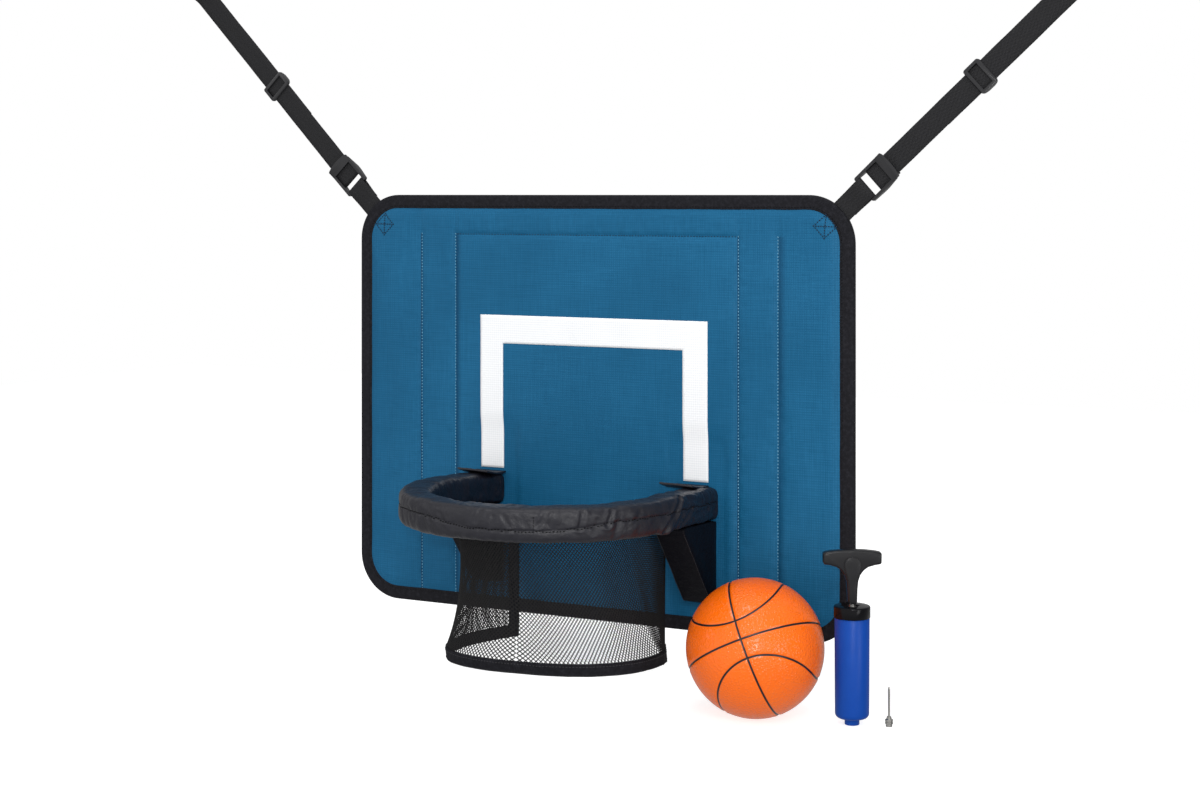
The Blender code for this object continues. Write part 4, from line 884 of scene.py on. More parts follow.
# %% Creases on the unrolled cover
SEAM_HIGH = 2.6
SEAM_DIP = 7.2
SEAM_DIP_AT = 357
SEAM_DIP_REACH = 72
PANEL_JOINT_AT = 373
BROAD_RELIEF = 1.3
FINE_RELIEF = 0.75
FINE_RELIEF_AT_END = 0.7
CREASES = 0.6
CREASES_AT_END = 1.3
END_REACH = 26
FRONT_HALF = 26
FOLD_DEPTH = 1.35
FOLD_WIDTH = 0.85
FOLD_REACH = 34
SEAM_DEPTH = 1.3
SEAM_WIDTH = 1.1
GATHER_DEPTH = 0.9
GATHER_PITCH = 5.2
GATHER_REACH = 4.5
JOINT_DEPTH = 0.8
JOINT_WIDTH = 1.6
JOINT_HEIGHT = 13
INSIDE_AT = 62
INSIDE_REACH = 22
INSIDE_DEPTH = 1.2
DEEPEST_CREASE = 1.5
# Each fold: along and up at its first end, the same at its last end, its depth and its width
FOLDS = [
    (321, 3, 325, 14, 0.7, 2.0), (333, -2, 337, 9, 0.5, 1.6), (351, 0, 346, 10, 0.5, 1.8),
    (384, 13, 376, 0, 0.6, 2.0), (415, 12, 412, -2, 1.3, 2.2), (428, 6, 424, -8, 0.5, 2.0),
    (442, 13, 437, -1, 1.4, 2.0), (447, 1, 444, -13, 0.7, 2.6), (470, 9, 462, -2, 0.5, 2.4),
    (531, 15, 503, -13, 2.0, 3.0), (522, 2, 512, -14, 0.9, 2.2), (556, 2, 533, -12, 1.1, 2.6),
    (548, 12, 583, 6, 0.6, 2.6), (566, -6, 600, -2, 0.8, 2.6), (280, 8, 286, 0, 0.4, 2.0),
    (262, 6, 268, -3, 0.4, 2.2), (232, 6, 236, -4, 0.5, 2.4), (205, 9, 207, -6, 0.5, 2.4),
]


def seam_height(along):
    """How far the cover's seam lies above the middle of the front: it dips round the bow."""
    return SEAM_HIGH - SEAM_DIP * bump(along - SEAM_DIP_AT, SEAM_DIP_REACH, 4)


def crease(away, width):
    """A sharp valley with a soft ridge on both sides, for a distance off its line."""
    return bump(away, width) - 0.8 * bump(away - 2 * width, width)


def off_segment(along, up, fold):
    """Distance from a point on the unrolled cover to a fold's line."""
    first, last = Vector(fold[:2]), Vector(fold[2:4])
    line = last - first
    away = Vector((along, up)) - first
    return (away - line * clamp(away.dot(line) / line.length_squared)).length


def front_relief(along, up, spot):
    """What the folds, the seam with its gathers and the panels' joint take off the cover's front."""
    depth = 0.0
    for fold in FOLDS:
        if abs(along - (fold[0] + fold[2]) / 2) < FOLD_REACH:
            depth += FOLD_DEPTH * fold[4] * crease(off_segment(along, up, fold), FOLD_WIDTH * fold[5])
    off_seam = up - seam_height(along)
    depth += SEAM_DEPTH * bump(off_seam, SEAM_WIDTH)
    gather = crinkle((spot[0], 0, 0), GATHER_PITCH, 2)
    depth += GATHER_DEPTH * gather * math.exp(-abs(off_seam) / GATHER_REACH)
    if 0 < off_seam < JOINT_HEIGHT:
        depth += JOINT_DEPTH * bump(along - PANEL_JOINT_AT, JOINT_WIDTH)
    return depth


def cover_relief(along, up, total):
    """Millimetres that the cover stands off its foam, at a length along it and a height on its front."""
    spot = (along * MM, up * MM, 0)
    from_end = min(along, total - along)
    end = math.exp(-from_end / END_REACH)
    height = BROAD_RELIEF * ripple(spot, 30, 5)
    height += (FINE_RELIEF + FINE_RELIEF_AT_END * end) * ripple(spot, 13, 9)
    height -= (CREASES + CREASES_AT_END * end) * crinkle((along * 1.4 * MM, up * 0.6 * MM, 0), 16, 3)
    if abs(up) < FRONT_HALF:
        height -= front_relief(along, up, spot)
    if abs(abs(up) - INSIDE_AT) < INSIDE_REACH:
        height -= INSIDE_DEPTH * crinkle((along * MM, up * 0.35 * MM, 0), 13, 7) * (0.5 + end)
    return max(height, -DEEPEST_CREASE) * min(from_end / 5, 1.0)


# %% The creased cover
COVER_COLUMNS = 104
COVER_PITCH = 2.2 * MM
COVER_SLACK = 0.2


def rim_skin():
    spots = evenly(rim_path(24), COVER_PITCH)
    length = path_length([spot for spot, _ in spots])
    section, girth = rim_section(COVER_COLUMNS)

    def place(column, row):
        spot, along = spots[row]
        across, up, _ = section[column % COVER_COLUMNS]
        off_middle = outwards(along) * across + Vector((0, 0, up))
        front_up = (column / COVER_COLUMNS - 0.25) * girth / MM
        relief = cover_relief(length[row] / MM, front_up, length[-1] / MM)
        return spot + off_middle + off_middle.normalized() * (relief + COVER_SLACK) * MM

    def weave(column, row):
        return (length[row], column / COVER_COLUMNS * girth)

    return welded(stretched_grid(COVER_COLUMNS, len(spots) - 1, place, weave))


def capped(thing):
    """Close a tube's ends after its smoothing, which a face of so many sides would slow."""
    work = bmesh.new()
    work.from_mesh(thing.data)
    close_ends(work)
    bmesh.ops.recalc_face_normals(work, faces=work.faces)
    work.to_mesh(thing.data)
    work.free()
    thing.data.shade_smooth()
    return thing


rim_skin_piece = capped(smoothed(to_object("rim_skin", rim_skin())))
dress(rim_skin_piece, "hoop", NYLON, "rim_fabric", "rim_cover")
print("rim skin", len(rim_skin_piece.data.polygons), "faces")

# %% [markdown]
# ## The wedges under the rim
#
# Under each rim end sits a foam wedge in a sewn cover, which keeps the rim level. The cover is cut
# from flat pieces, so its edges are seams and its faces swell between them. It starts as the wedge's
# side outline, drawn from a few corner points, which is then carried across the wedge's width.

# %% The wedge's outline
WEDGE_TOP_Z = RIM_BOTTOM_Z - 0.3 * MM
WEDGE_REACH = 84 * MM
WEDGE_HEIGHT = 84 * MM
WEDGE_FOOT = 13 * MM
WEDGE_WIDTH = 32 * MM
WEDGE_PITCH = 1.4 * MM
WEDGE_SIDE_GAP = 0.2 * MM
WEDGE_EDGE = 0.12
WEDGE_EDGE_PULL = 0.004
WEDGE_SLOPE_SWELL = 0.8
WEDGE_SIDE_SWELL = 1.6
WEDGE_WRINKLE = 0.3


def rounded_outline(corners, steps=8):
    """Points round a convex outline of (a, b, radius) corners that run anticlockwise."""
    points = []
    count = len(corners)
    for index, (a, b, radius) in enumerate(corners):
        here = Vector((a, b))
        to_last = (Vector(corners[index - 1][:2]) - here).normalized()
        to_next = (Vector(corners[(index + 1) % count][:2]) - here).normalized()
        half = to_last.angle(to_next) / 2
        first = here + to_last * radius / math.tan(half)
        last = here + to_next * radius / math.tan(half)
        for step in range(steps + 1):
            share = step / steps
            points.append(first.lerp(here, share).lerp(here.lerp(last, share), share))
    return points


def wedge_outline():
    bottom = WEDGE_TOP_Z - WEDGE_HEIGHT
    nose = WEDGE_TOP_Z + rim_rise(WEDGE_REACH)
    return rounded_outline([(CONTACT_Y, WEDGE_TOP_Z, 2 * MM), (CONTACT_Y - WEDGE_REACH, nose, 6 * MM),
                            (CONTACT_Y - WEDGE_FOOT, bottom, 9 * MM), (CONTACT_Y, bottom, 2 * MM)])


def wedge_skin(side):
    """The outline swept across the wedge's width, then drawn in towards each side face."""
    outline = wedge_outline()
    spots = evenly([Vector((0, y, z)) for y, z in [*outline, outline[0]]], WEDGE_PITCH)
    centre = sum((spot for spot, _ in spots), Vector()) / len(spots)
    face = stations([0, 1], 0.055)
    profile = [(share, -1.0) for share in face]
    profile += [(1.0, 2 * share - 1) for share in stations([0, 1], 0.045)[1:]]
    profile += [(1 - share, 1.0) for share in face[1:]]

    def place(column, row):
        spot, _ = spots[row]
        share, x = profile[column]
        edge = 1 - min((1 - abs(x)) / WEDGE_EDGE, 1.0)
        flat = centre.lerp(spot, share * (1 - WEDGE_EDGE_PULL * edge))
        wrinkle = WEDGE_WRINKLE * ripple((x * 12 * MM, flat.y * 1.3, flat.z * 0.7), 16, 4 + side)
        rise = WEDGE_SLOPE_SWELL * math.cos(x * math.pi / 2) + wrinkle
        belly = (WEDGE_SIDE_SWELL * (1 - share ** 3) + wrinkle) * math.sin(math.pi * share / 2)
        away = (Vector((0, spot.y, spot.z)) - centre).normalized()
        spot_at = flat + away * rise * MM * min(share * 2, 1)
        spot_at.x = HOOP_X + side * RIM_END_X + x * (WEDGE_WIDTH / 2 - WEDGE_SIDE_GAP + belly * MM)
        spot_at.y = min(spot_at.y, CONTACT_Y)
        spot_at.z = min(spot_at.z, WEDGE_TOP_Z + rim_rise(CONTACT_Y - spot_at.y))
        return spot_at

    def weave(column, row):
        return (row * WEDGE_PITCH, column * WEDGE_PITCH)

    return welded(stretched_grid(len(profile) - 1, len(spots) - 1, place, weave))


for name, side in SIDES.items():
    wedge = to_object("wedge_skin_" + name, wedge_skin(side))
    dress(wedge, "hoop", WEDGE_NYLON_PAINTED_SHADE, "rim_fabric", "wedge_cover_" + name)
print("wedges made")

# %% [markdown]
# ## The net
#
# The net is a curtain of knitted mesh with diamond holes. A flat grid is poked, which puts a point
# into each square, and the square's own edges are dissolved, so that the diamonds between the points
# are left. Each diamond is inset and its middle deleted, and what stays is the mesh's strands. Only
# then is the flat lace laid round the hoop, and Solidify gives the strands their thickness.

# %% The curtain that the net follows
NET_TUCK = 8 * MM
NET_DROP = 130 * MM
HEM_WIDTH = 13 * MM
NET_BACK_GAP = 7 * MM
NET_BACK_HALF_WIDTH = 94 * MM
NET_FOOT_RADIUS = 112 * MM
NET_FOOT_FRONT = 167 * MM
NET_FOOT_CENTRE = 0.47
NET_FOOT_POWER = 2.4
NET_FOOT_SKEW = 0.12
NET_WAIST = 24 * MM
NET_WAIST_AT = 0.12
NET_ARM_SHARE = 0.2
NET_TOP_RADIUS = RIM_RADIUS - RIM_WIDTH / 2 - 0.9 * MM
NET_FOLD = 0.9
NET_FOLDS = 9
NET_WANDER = 0.35


def curtain_line(share, top):
    """A point (x, y) of the net's upper or lower line; share runs 0 to 1 from left to right."""
    if top:
        wide, centre_y, front = NET_TOP_RADIUS, -RIM_ARM, NET_TOP_RADIUS * RIM_FLATTEN
        squareness, skew = 1, 0
    else:
        wide, centre_y = NET_FOOT_RADIUS, -NET_FOOT_FRONT * NET_FOOT_CENTRE
        front = NET_FOOT_FRONT + centre_y
        squareness, skew = 2 / NET_FOOT_POWER, NET_FOOT_SKEW
    if NET_ARM_SHARE < share < 1 - NET_ARM_SHARE:
        angle = math.pi * (share - NET_ARM_SHARE) / (1 - 2 * NET_ARM_SHARE)
        across = math.copysign(abs(math.cos(angle)) ** squareness, math.cos(angle))
        point = Vector((-wide * across, centre_y - front * math.sin(angle) ** squareness))
    else:
        sign = -1 if share <= 0.5 else 1
        along = min(share, 1 - share) / NET_ARM_SHARE
        start_y = -NET_BACK_GAP - HEM_WIDTH
        skew *= along
        x = NET_BACK_HALF_WIDTH + (wide - NET_BACK_HALF_WIDTH) * math.sin(along * math.pi / 2)
        point = Vector((sign * x, start_y + (centre_y - start_y) * along))
    point.y += skew * point.x
    return point


NET_LENGTH = math.pi * RIM_RADIUS + 2 * RIM_ARM


def curtain(share, drop, out=0.0):
    """A point of the curtain: drop is 0 at the rim and 1 at its foot, out is metres off it.

    Past either end of the share, the curtain runs on straight, which is where its side hems lie.
    """
    inside = clamp(share)
    top = curtain_line(inside, True)
    flat = top.lerp(curtain_line(inside, False), drop)
    outward = Vector((flat.x, flat.y + RIM_ARM)).normalized()
    fade = min(min(inside, 1 - inside) / NET_ARM_SHARE, 1.0)
    wander = NET_WANDER * noise.noise(Vector((inside * 14, drop * 1.5, 2)))
    wave = math.sin(2 * math.pi * (NET_FOLDS * inside + wander * drop))
    fold = NET_FOLD * MM * fade * math.sin(math.pi * min(drop, 1)) * wave
    drawn_in = math.sin(min(drop / NET_WAIST_AT, 1) * math.pi / 2) * max(1 - drop**3, 0)
    flat += outward * (fold + out - NET_WAIST * fade * drawn_in)
    if share != inside:
        step = NET_ARM_SHARE / 8
        inner = step if share < 0 else 1 - step
        back = curtain_line(inside, True).lerp(curtain_line(inside, False), drop)
        front = curtain_line(inner, True).lerp(curtain_line(inner, False), drop)
        flat += (back - front).normalized() * abs(share - inside) * NET_LENGTH
    raised = (rim_rise(-top.y) + NET_TUCK * fade) * max(1 - drop, 0)
    return Vector((flat.x + HOOP_X, flat.y + CONTACT_Y, RIM_BOTTOM_Z + raised - drop * NET_DROP))


TOP_LINE = path_length([curtain(step / 200, 0) for step in range(201)])[-1]
FOOT_LINE = path_length([curtain(step / 200, 1) for step in range(201)])[-1]
print("net", round(TOP_LINE / MM), "mm along its top,", round(FOOT_LINE / MM), "mm along its foot")

# %% The lace
HOLE_PITCH = 3.9 * MM
STRAND = 0.82 * MM
STRAND_DEPTH = 0.45 * MM


def lace(low, high):
    """The mesh between two shares of the curtain."""
    columns = round((high - low) * (TOP_LINE + FOOT_LINE) / 2 / HOLE_PITCH)
    rows = round(NET_DROP / HOLE_PITCH)
    work = bmesh.new()
    bmesh.ops.create_grid(work, x_segments=columns, y_segments=rows, size=1)
    for vertex in work.verts:
        vertex.co.x = (vertex.co.x + 1) / 2 * columns * HOLE_PITCH
        vertex.co.y = (vertex.co.y + 1) / 2 * rows * HOLE_PITCH
    squares = [edge for edge in work.edges if not edge.is_boundary]
    bmesh.ops.poke(work, faces=work.faces)
    bmesh.ops.dissolve_edges(work, edges=squares, use_verts=False)
    made = bmesh.ops.inset_individual(work, faces=work.faces, thickness=STRAND / 2, use_even_offset=True)
    ring = set(made["faces"])
    joint = 0 if low > 0 else columns * HOLE_PITCH
    spare = []
    for face in work.faces:
        on_joint = [vertex for vertex in face.verts if abs(vertex.co.x - joint) < 0.01 * MM]
        if face not in ring or len(on_joint) > 1:
            spare.append(face)
    bmesh.ops.delete(work, geom=spare, context="FACES")
    for vertex in work.verts:
        share = low + (high - low) * vertex.co.x / (columns * HOLE_PITCH)
        drop = 0.995 - 0.99 * vertex.co.y / (rows * HOLE_PITCH)
        vertex.co = curtain(share, drop)
    bmesh.ops.recalc_face_normals(work, faces=work.faces)
    return work


for low, high, name in ((0, 0.5, "left"), (0.5, 1, "right")):
    half_net = thicken(to_object("net_lace_" + name, lace(low, high)), STRAND_DEPTH)
    print("net", name, len(half_net.data.polygons), "faces")
    dress(half_net, "hoop", YARN, "net_mesh", "net")

# %% [markdown]
# ## Sewing
#
# Sewn lines hold this product together, so every thread that shows is modelled. One stitch is a small
# round bead drawn out along the seam and sunk partly into the cloth. A helper walks along a route,
# finds the surface nearest to each spot, or behind it, and lays a stitch there.

# %% Stitches along a route
STITCH_PITCH = 3.4
STITCH_SINK = 0.35
BACKWARD = Vector((0, 1, 0))
RAY_Y = -40 * MM


def surface_of(*things):
    """A function that finds the point on some pieces nearest to a spot, or in a direction from it."""
    trees = [BVHTree.FromObject(thing, bpy.context.evaluated_depsgraph_get()) for thing in things]

    def under(point, direction=None):
        if direction is None:
            hits = [tree.find_nearest(point, 12 * MM) for tree in trees]
        else:
            hits = [tree.ray_cast(point, direction, 60 * MM) for tree in trees]
        hits = [hit for hit in hits if hit[0] is not None]
        return min(hits, key=lambda hit: hit[3]) if hits else None

    return under


def sew(name, routes, surface, look, length, radius, pitch=STITCH_PITCH, towards=None, sink=STITCH_SINK):
    """Lay stitches along routes, each on the surface that lies nearest or towards a direction.

    look is the body that they ride on, their thread and a slot name that nothing reads. Length,
    radius and pitch are in millimetres, and sink is the share of a stitch's height that lies in the cloth.
    """
    length, radius, pitch = length * MM, radius * MM, pitch * MM
    work = bmesh.new()
    for route in routes:
        for spot, along in evenly(route, pitch):
            hit = surface(spot, towards)
            if hit is None:
                continue
            normal = -hit[1] if towards is not None and hit[1].dot(towards) > 0 else hit[1]
            side = along.cross(normal).normalized()
            forward = normal.cross(side)
            turn = Matrix((forward, side, normal)).transposed().to_4x4()
            turn.translation = hit[0] + normal * radius * (1 - 2 * sink)
            size = Matrix.Diagonal((length / 2, radius * 1.15, radius, 1))
            bmesh.ops.create_icosphere(work, subdivisions=1, radius=1, matrix=turn @ size)
    return dress(to_object(name, work), *look)


front_surface = surface_of(front_cloth)
SEAM_FOOT_Z = -BOARD_HEIGHT / 2 + TAPE_COVER
upright_seams = []
for line in SEWN_LINES:
    upright_seams.append([Vector((line, RAY_Y, z)) for z in (SEAM_FOOT_Z, TOP_SEAM_Z)])
top_seam = [[Vector((line, RAY_Y, TOP_SEAM_Z)) for line in SEWN_LINES[1:3]]]
sew("quilting_stitches", upright_seams, front_surface, ("root", BLUE_THREAD, "board_fabric"),
    length=2.3, radius=0.5, towards=BACKWARD)
sew("top_seam_stitches", top_seam, front_surface, ("root", NAVY_THREAD, "board_fabric"),
    length=2.4, radius=0.45, towards=BACKWARD)

# %% The seam of the rim's cover and the ridges of its wedges
SEAM_OUT = RIM_WIDTH / 2 + 1 * MM
SEAM_MARGIN = 6
rim_spots = evenly(rim_path(24), 1 * MM)


def beside_rim(reached, up=0):
    """A point just outside the cover's front, millimetres along the rim and above its seam."""
    spot, along = rim_spots[reached]
    return spot + outwards(along) * SEAM_OUT + Vector((0, 0, (seam_height(reached) + up) * MM))


rim_surface = surface_of(rim_skin_piece)
seam_line = [beside_rim(reached) for reached in range(SEAM_MARGIN, len(rim_spots) - SEAM_MARGIN, 3)]
joint_line = [beside_rim(PANEL_JOINT_AT, up) for up in (1, 5, 9, 13)]
RIM_THREAD = ("hoop", BLACK_THREAD, "rim_fabric")
sew("rim_seam_stitches", [seam_line], rim_surface, RIM_THREAD, length=2.5, radius=0.55, sink=0.4)
sew("panel_joint_stitches", [joint_line], rim_surface, RIM_THREAD,
    length=2.2, radius=0.3, pitch=2.2, sink=0.5)
for name, side in SIDES.items():
    slope = [(y, z) for y, z in wedge_outline() if z < WEDGE_TOP_Z - 3 * MM and y < CONTACT_Y - 5 * MM]
    middle_x = HOOP_X + side * RIM_END_X
    ridges = [[Vector((middle_x + edge * WEDGE_WIDTH / 2, y, z)) for y, z in slope] for edge in (-1, 1)]
    sew("wedge_ridge_" + name, ridges, surface_of(bpy.data.objects["wedge_skin_" + name]),
        ("hoop", GREY_THREAD, "rim_fabric"), length=2.6, radius=0.3, pitch=2.6, sink=0.3)
print("seams of the rim sewn")

# %% [markdown]
# ## The binding tape
#
# A folded woven tape hides the raw edges all round. Its section is a narrow U with turned-in lips,
# carried round the board's outline, with a slow waver where the sewing drew it up.

# %% The tape's fold
# Its section from the front lip round to the back lip: how far inwards and how far back, in millimetres
TAPE_FOLD = [(15.2, 1.3), (15.2, 0.35), (14.6, 0.0), (11.0, -0.18), (7.0, -0.12), (3.0, -0.05), (1.2, 0.15),
             (0.35, 0.8), (0.0, 2.0), (0.0, 4.0), (0.0, 6.0), (0.35, 7.2), (1.2, 7.85), (3.0, 8.0),
             (8.0, 8.0), (14.6, 8.0), (15.2, 7.6), (15.2, 6.7)]


def outline_point(along):
    """A point and its outward direction on the board's outline, a distance along from the top left."""
    straight_x, straight_z = 2 * CORNER_X, 2 * CORNER_Z
    quarter = BOARD_CORNER * math.pi / 2
    sides = [(straight_x, (0, 1)), (straight_z, (1, 0)), (straight_x, (0, -1)), (straight_z, (-1, 0))]
    corner = Vector((-CORNER_X, CORNER_Z))
    for length, out in sides:
        out = Vector(out)
        forward = Vector((out.y, -out.x))
        if along <= length:
            return corner + forward * along + out * BOARD_CORNER, out
        along -= length
        corner = corner + forward * length
        if along <= quarter:
            angle = along / BOARD_CORNER
            away = out * math.cos(angle) + forward * math.sin(angle)
            return corner + away * BOARD_CORNER, away
        along -= quarter
    return outline_point(0)


OUTLINE_LENGTH = 4 * (CORNER_X + CORNER_Z) + 2 * math.pi * BOARD_CORNER
TAPE_MIDDLE = 4
TAPE_WAVER = 0.45
TAPE_SWELL = 0.22


def tape_point(along, inset, depth):
    """A point on the tape: metres along the board's edge, then millimetres inwards and back."""
    spot, out = outline_point(along)
    angle = 2 * math.pi * along / OUTLINE_LENGTH
    loop = Vector((math.cos(angle), math.sin(angle), 0)) * 0.3
    across = inset * MM / TAPE_COVER
    waver = TAPE_WAVER * ripple(loop, 22, 1) * across
    swell = 0
    if depth < TAPE_MIDDLE:
        swell = TAPE_SWELL * ripple(loop, 9, 4) * math.sin(math.pi * min(across, 1))
    flat = spot - out * (inset + waver) * MM
    return Vector((flat.x, FRONT_Y + (depth + swell) * MM, flat.y))


def tape_skin():
    steps = round(OUTLINE_LENGTH / (3 * MM))
    lengths = path_length([Vector((inset, depth, 0)) * MM for inset, depth in TAPE_FOLD])

    def place(column, row):
        return tape_point(OUTLINE_LENGTH * (row % steps) / steps, *TAPE_FOLD[column])

    def weave(column, row):
        return (OUTLINE_LENGTH * row / steps, lengths[column])

    return welded(stretched_grid(len(TAPE_FOLD) - 1, steps, place, weave))


tape = smoothed(to_object("binding_tape_skin", tape_skin()))
dress(tape, "root", TAPE, "binding_tape", "edge_binding")


def tape_row(y, inset=12.6 * MM):
    """A route round the board on the tape, between its front face and the given y."""
    steps = round(OUTLINE_LENGTH / (5 * MM))
    spots = [tape_point(OUTLINE_LENGTH * step / steps, inset / MM, 0) for step in range(steps + 1)]
    return [Vector((spot.x, y, spot.z)) for spot in spots]


tape_surface = surface_of(tape)
for name, towards in (("front", BACKWARD), ("back", -BACKWARD)):
    sew("tape_stitches_" + name, [tape_row(RAY_Y * towards.y)], tape_surface,
        ("root", BLACK_THREAD, "binding_tape"), length=2.6, radius=0.33, towards=towards)
print("tape and its stitches made")

# %% [markdown]
# ## The white target
#
# The target is printed film pressed onto the cloth. It starts as a grid that covers its outline, the
# middle is taken out, and what is left is laid on the cloth, so that it follows each swell.

# %% The printed film
TARGET_OUTER_X = 138.5 * MM
TARGET_INNER_X = 109.5 * MM
TARGET_TOP_Z = 96.7 * MM
TARGET_BAR_Z = 65.7 * MM
TARGET_FOOT_Z = HINGE_Z + 2.8 * MM
FILM_PITCH = 3 * MM
FILM_THICKNESS = 0.25 * MM
FILM_LIFT = 0.35 * MM


def target_film():
    across = stations([-TARGET_OUTER_X, -TARGET_INNER_X, TARGET_INNER_X, TARGET_OUTER_X], FILM_PITCH)
    down = stations([TARGET_FOOT_Z, TARGET_BAR_Z, TARGET_TOP_Z], FILM_PITCH)
    work = stretched_grid(len(across) - 1, len(down) - 1, lambda c, r: (across[c], RAY_Y, down[r]))
    hollow = []
    for face in work.faces:
        centre = face.calc_center_median()
        if abs(centre.x) < TARGET_INNER_X and centre.z < TARGET_BAR_Z:
            hollow.append(face)
    bmesh.ops.delete(work, geom=hollow, context="FACES")
    for vertex in work.verts:
        vertex.co = front_surface(vertex.co, BACKWARD)[0] - BACKWARD * FILM_LIFT
    return facing_front(work)


target = thicken(to_object("target_print", target_film()), FILM_THICKNESS, -1)
dress(target, "root", PRINT, "white_print", "target_film")

# %% [markdown]
# ## Webbing
#
# Each strap is woven flat, 24 mm wide, with rounded selvedges. It is made as a strip whose rows
# follow the strap's route from the side, so it can double back round a buckle or open into the loop
# that takes the pole. Its map runs along the strap in real units, and the ribs follow that map.

# %% A strip of webbing
WEBBING_WIDTH = 24 * MM
WEBBING_THICKNESS = 1.5 * MM
WEBBING_PITCH = 1.2 * MM
SELVEDGE = 0.5 * MM
SELVEDGE_PITCH = 3.4 * MM
STRAP_SLOPES = {"left": 46, "right": 42.6}


def strap_frame(side):
    """From the strap's own directions, +X up along it, to the whole set's."""
    slope = STRAP_SLOPES[side]
    turn = Matrix.Rotation(math.radians(slope - 180 if side == "left" else -slope), 4, "Y")
    return Matrix.Translation((SIDES[side] * CORNER_X, FRONT_Y / 2, CORNER_Z)) @ turn


def webbing_strip(route):
    """A strip along a route of (x, y) points in the strap's own frame."""
    spots = evenly([Vector((x, y, 0)) for x, y in route], WEBBING_PITCH)
    half, width = WEBBING_THICKNESS / 2, WEBBING_WIDTH / 2
    flat = width - SELVEDGE
    face = [(-flat, half), (-width / 2, half), (0, half), (width / 2, half), (flat, half),
            (width, half / 3), (width, -half / 3)]
    closed = [*face, *[(-across, -up) for across, up in face], face[0]]
    around = path_length([Vector((across, up, 0)) for across, up in closed])

    def place(column, row):
        spot, along = spots[row]
        across, up = closed[column]
        reach = row * WEBBING_PITCH
        if abs(across) > flat:
            across += math.copysign(0.12 * MM * math.sin(2 * math.pi * reach / SELVEDGE_PITCH), across)
        waver = 0.25 * MM * ripple((reach, 0, 0), 30, 8)
        return spot + Vector((-along.y, along.x, 0)) * up + Vector((0, 0, across + waver))

    def weave(column, row):
        return (row * WEBBING_PITCH, around[column])

    return close_ends(welded(stretched_grid(len(closed) - 1, len(spots) - 1, place, weave)))


def arc(centre, radius, start, end, steps):
    points = []
    for index in range(steps + 1):
        angle = math.radians(start + (end - start) * index / steps)
        points.append((centre[0] + radius * math.cos(angle), centre[1] + radius * math.sin(angle)))
    return points


# %% The routes of both straps, from the side
LOCK_EYE_AT = 83 * MM
LOCK_LADDER_AT = 97.5 * MM
LOCK_WRAP = 2.95 * MM
LAYER_PITCH = 1.9 * MM
TAIL_LENGTH = 22 * MM
LOOP_NECK_AT = 398 * MM
POLE_RADIUS = 22 * MM
LOOP_CENTRE = (436 * MM, LAYER_PITCH / 2)
BACK_LAYER_END = 190 * MM


def ease_between(start, start_angle, end, end_angle, steps=10):
    """A smooth run between two points that leaves and arrives at the given angles."""
    pull = math.hypot(end[0] - start[0], end[1] - start[1])
    leave = Vector((math.cos(math.radians(start_angle)), math.sin(math.radians(start_angle)))) * pull
    arrive = Vector((math.cos(math.radians(end_angle)), math.sin(math.radians(end_angle)))) * pull
    points = []
    for index in range(steps):
        t = index / steps
        spot = (2 * t**3 - 3 * t**2 + 1) * Vector(start) + (t**3 - 2 * t**2 + t) * leave
        spot += (-2 * t**3 + 3 * t**2) * Vector(end) + (t**3 - t**2) * arrive
        points.append(tuple(spot))
    return points


def hanging_route():
    """The long strap: its tail over the ladder bar, up to the pole loop, round it and back down."""
    route = [(LOCK_LADDER_AT + TAIL_LENGTH, 2 * LOCK_WRAP)]
    route += arc((LOCK_LADDER_AT, LOCK_WRAP), LOCK_WRAP, 90, 270, 16)
    loop = arc(LOOP_CENTRE, POLE_RADIUS + WEBBING_THICKNESS / 2, -120, 120, 36)
    route += ease_between((LOOP_NECK_AT, 0), 0, loop[0], -30)
    route += loop
    route += reversed(ease_between((LOOP_NECK_AT, LAYER_PITCH), 0, loop[-1], 30))
    return route + [(BACK_LAYER_END, LAYER_PITCH)]


def anchor_route():
    """The short strap folded in half: out under the eye bar, round it and back."""
    half = WEBBING_THICKNESS / 2
    neck = ease_between((60 * MM, -half), 0, (LOCK_EYE_AT - 1.2 * MM, -LOCK_WRAP), 0, 8)
    front = [(16 * MM, 0), (40 * MM, 0), (56 * MM, -half * 0.9)]
    wrap = arc((LOCK_EYE_AT, 0), LOCK_WRAP, -100, 100, 14)
    return front + neck + wrap + [(x, -y) for x, y in reversed(neck)] + [(57 * MM, half * 1.4)]


for side in STRAP_SLOPES:
    for piece, route, node in (("webbing_", hanging_route(), "hanging_strap_"),
                               ("corner_webbing_", anchor_route(), "anchor_strap_")):
        strap = to_object(piece + side, moved(webbing_strip(route), strap_frame(side)))
        dress(strap, "root", WEBBING, "webbing", node + side)
print("webbing made")

# %% The crossed box of stitches that holds each strap
BOX_NEAR = {"left": 15 * MM, "right": 18 * MM}
BOX_SIZE = 17 * MM
boxes = []
for side, near in BOX_NEAR.items():
    far, half = near + BOX_SIZE, BOX_SIZE / 2
    corners = [(near, -half), (far, -half), (far, half), (near, half)]
    spots = [strap_frame(side) @ Vector((x, 0, z)) for x, z in corners]
    spots = [Vector((spot.x, RAY_Y, spot.z)) for spot in spots]
    boxes += [[*spots, spots[0]], [spots[0], spots[2]], [spots[1], spots[3]]]
sew("corner_box_stitches", boxes, surface_of(front_cloth, tape), ("root", NAVY_THREAD, "board_fabric"),
    length=2.3, radius=0.6, pitch=2.8, towards=BACKWARD)

# %% [markdown]
# ## Buckles
#
# The moulded buckles keep the exact shape of the bare model, but real mouldings have soft edges that
# catch the light. So each is a copy of the model's mesh, welded and cleaned of its flat triangle
# edges, with a fine bevel on every edge that is left.

# %% Soft edges on a copy of a solid


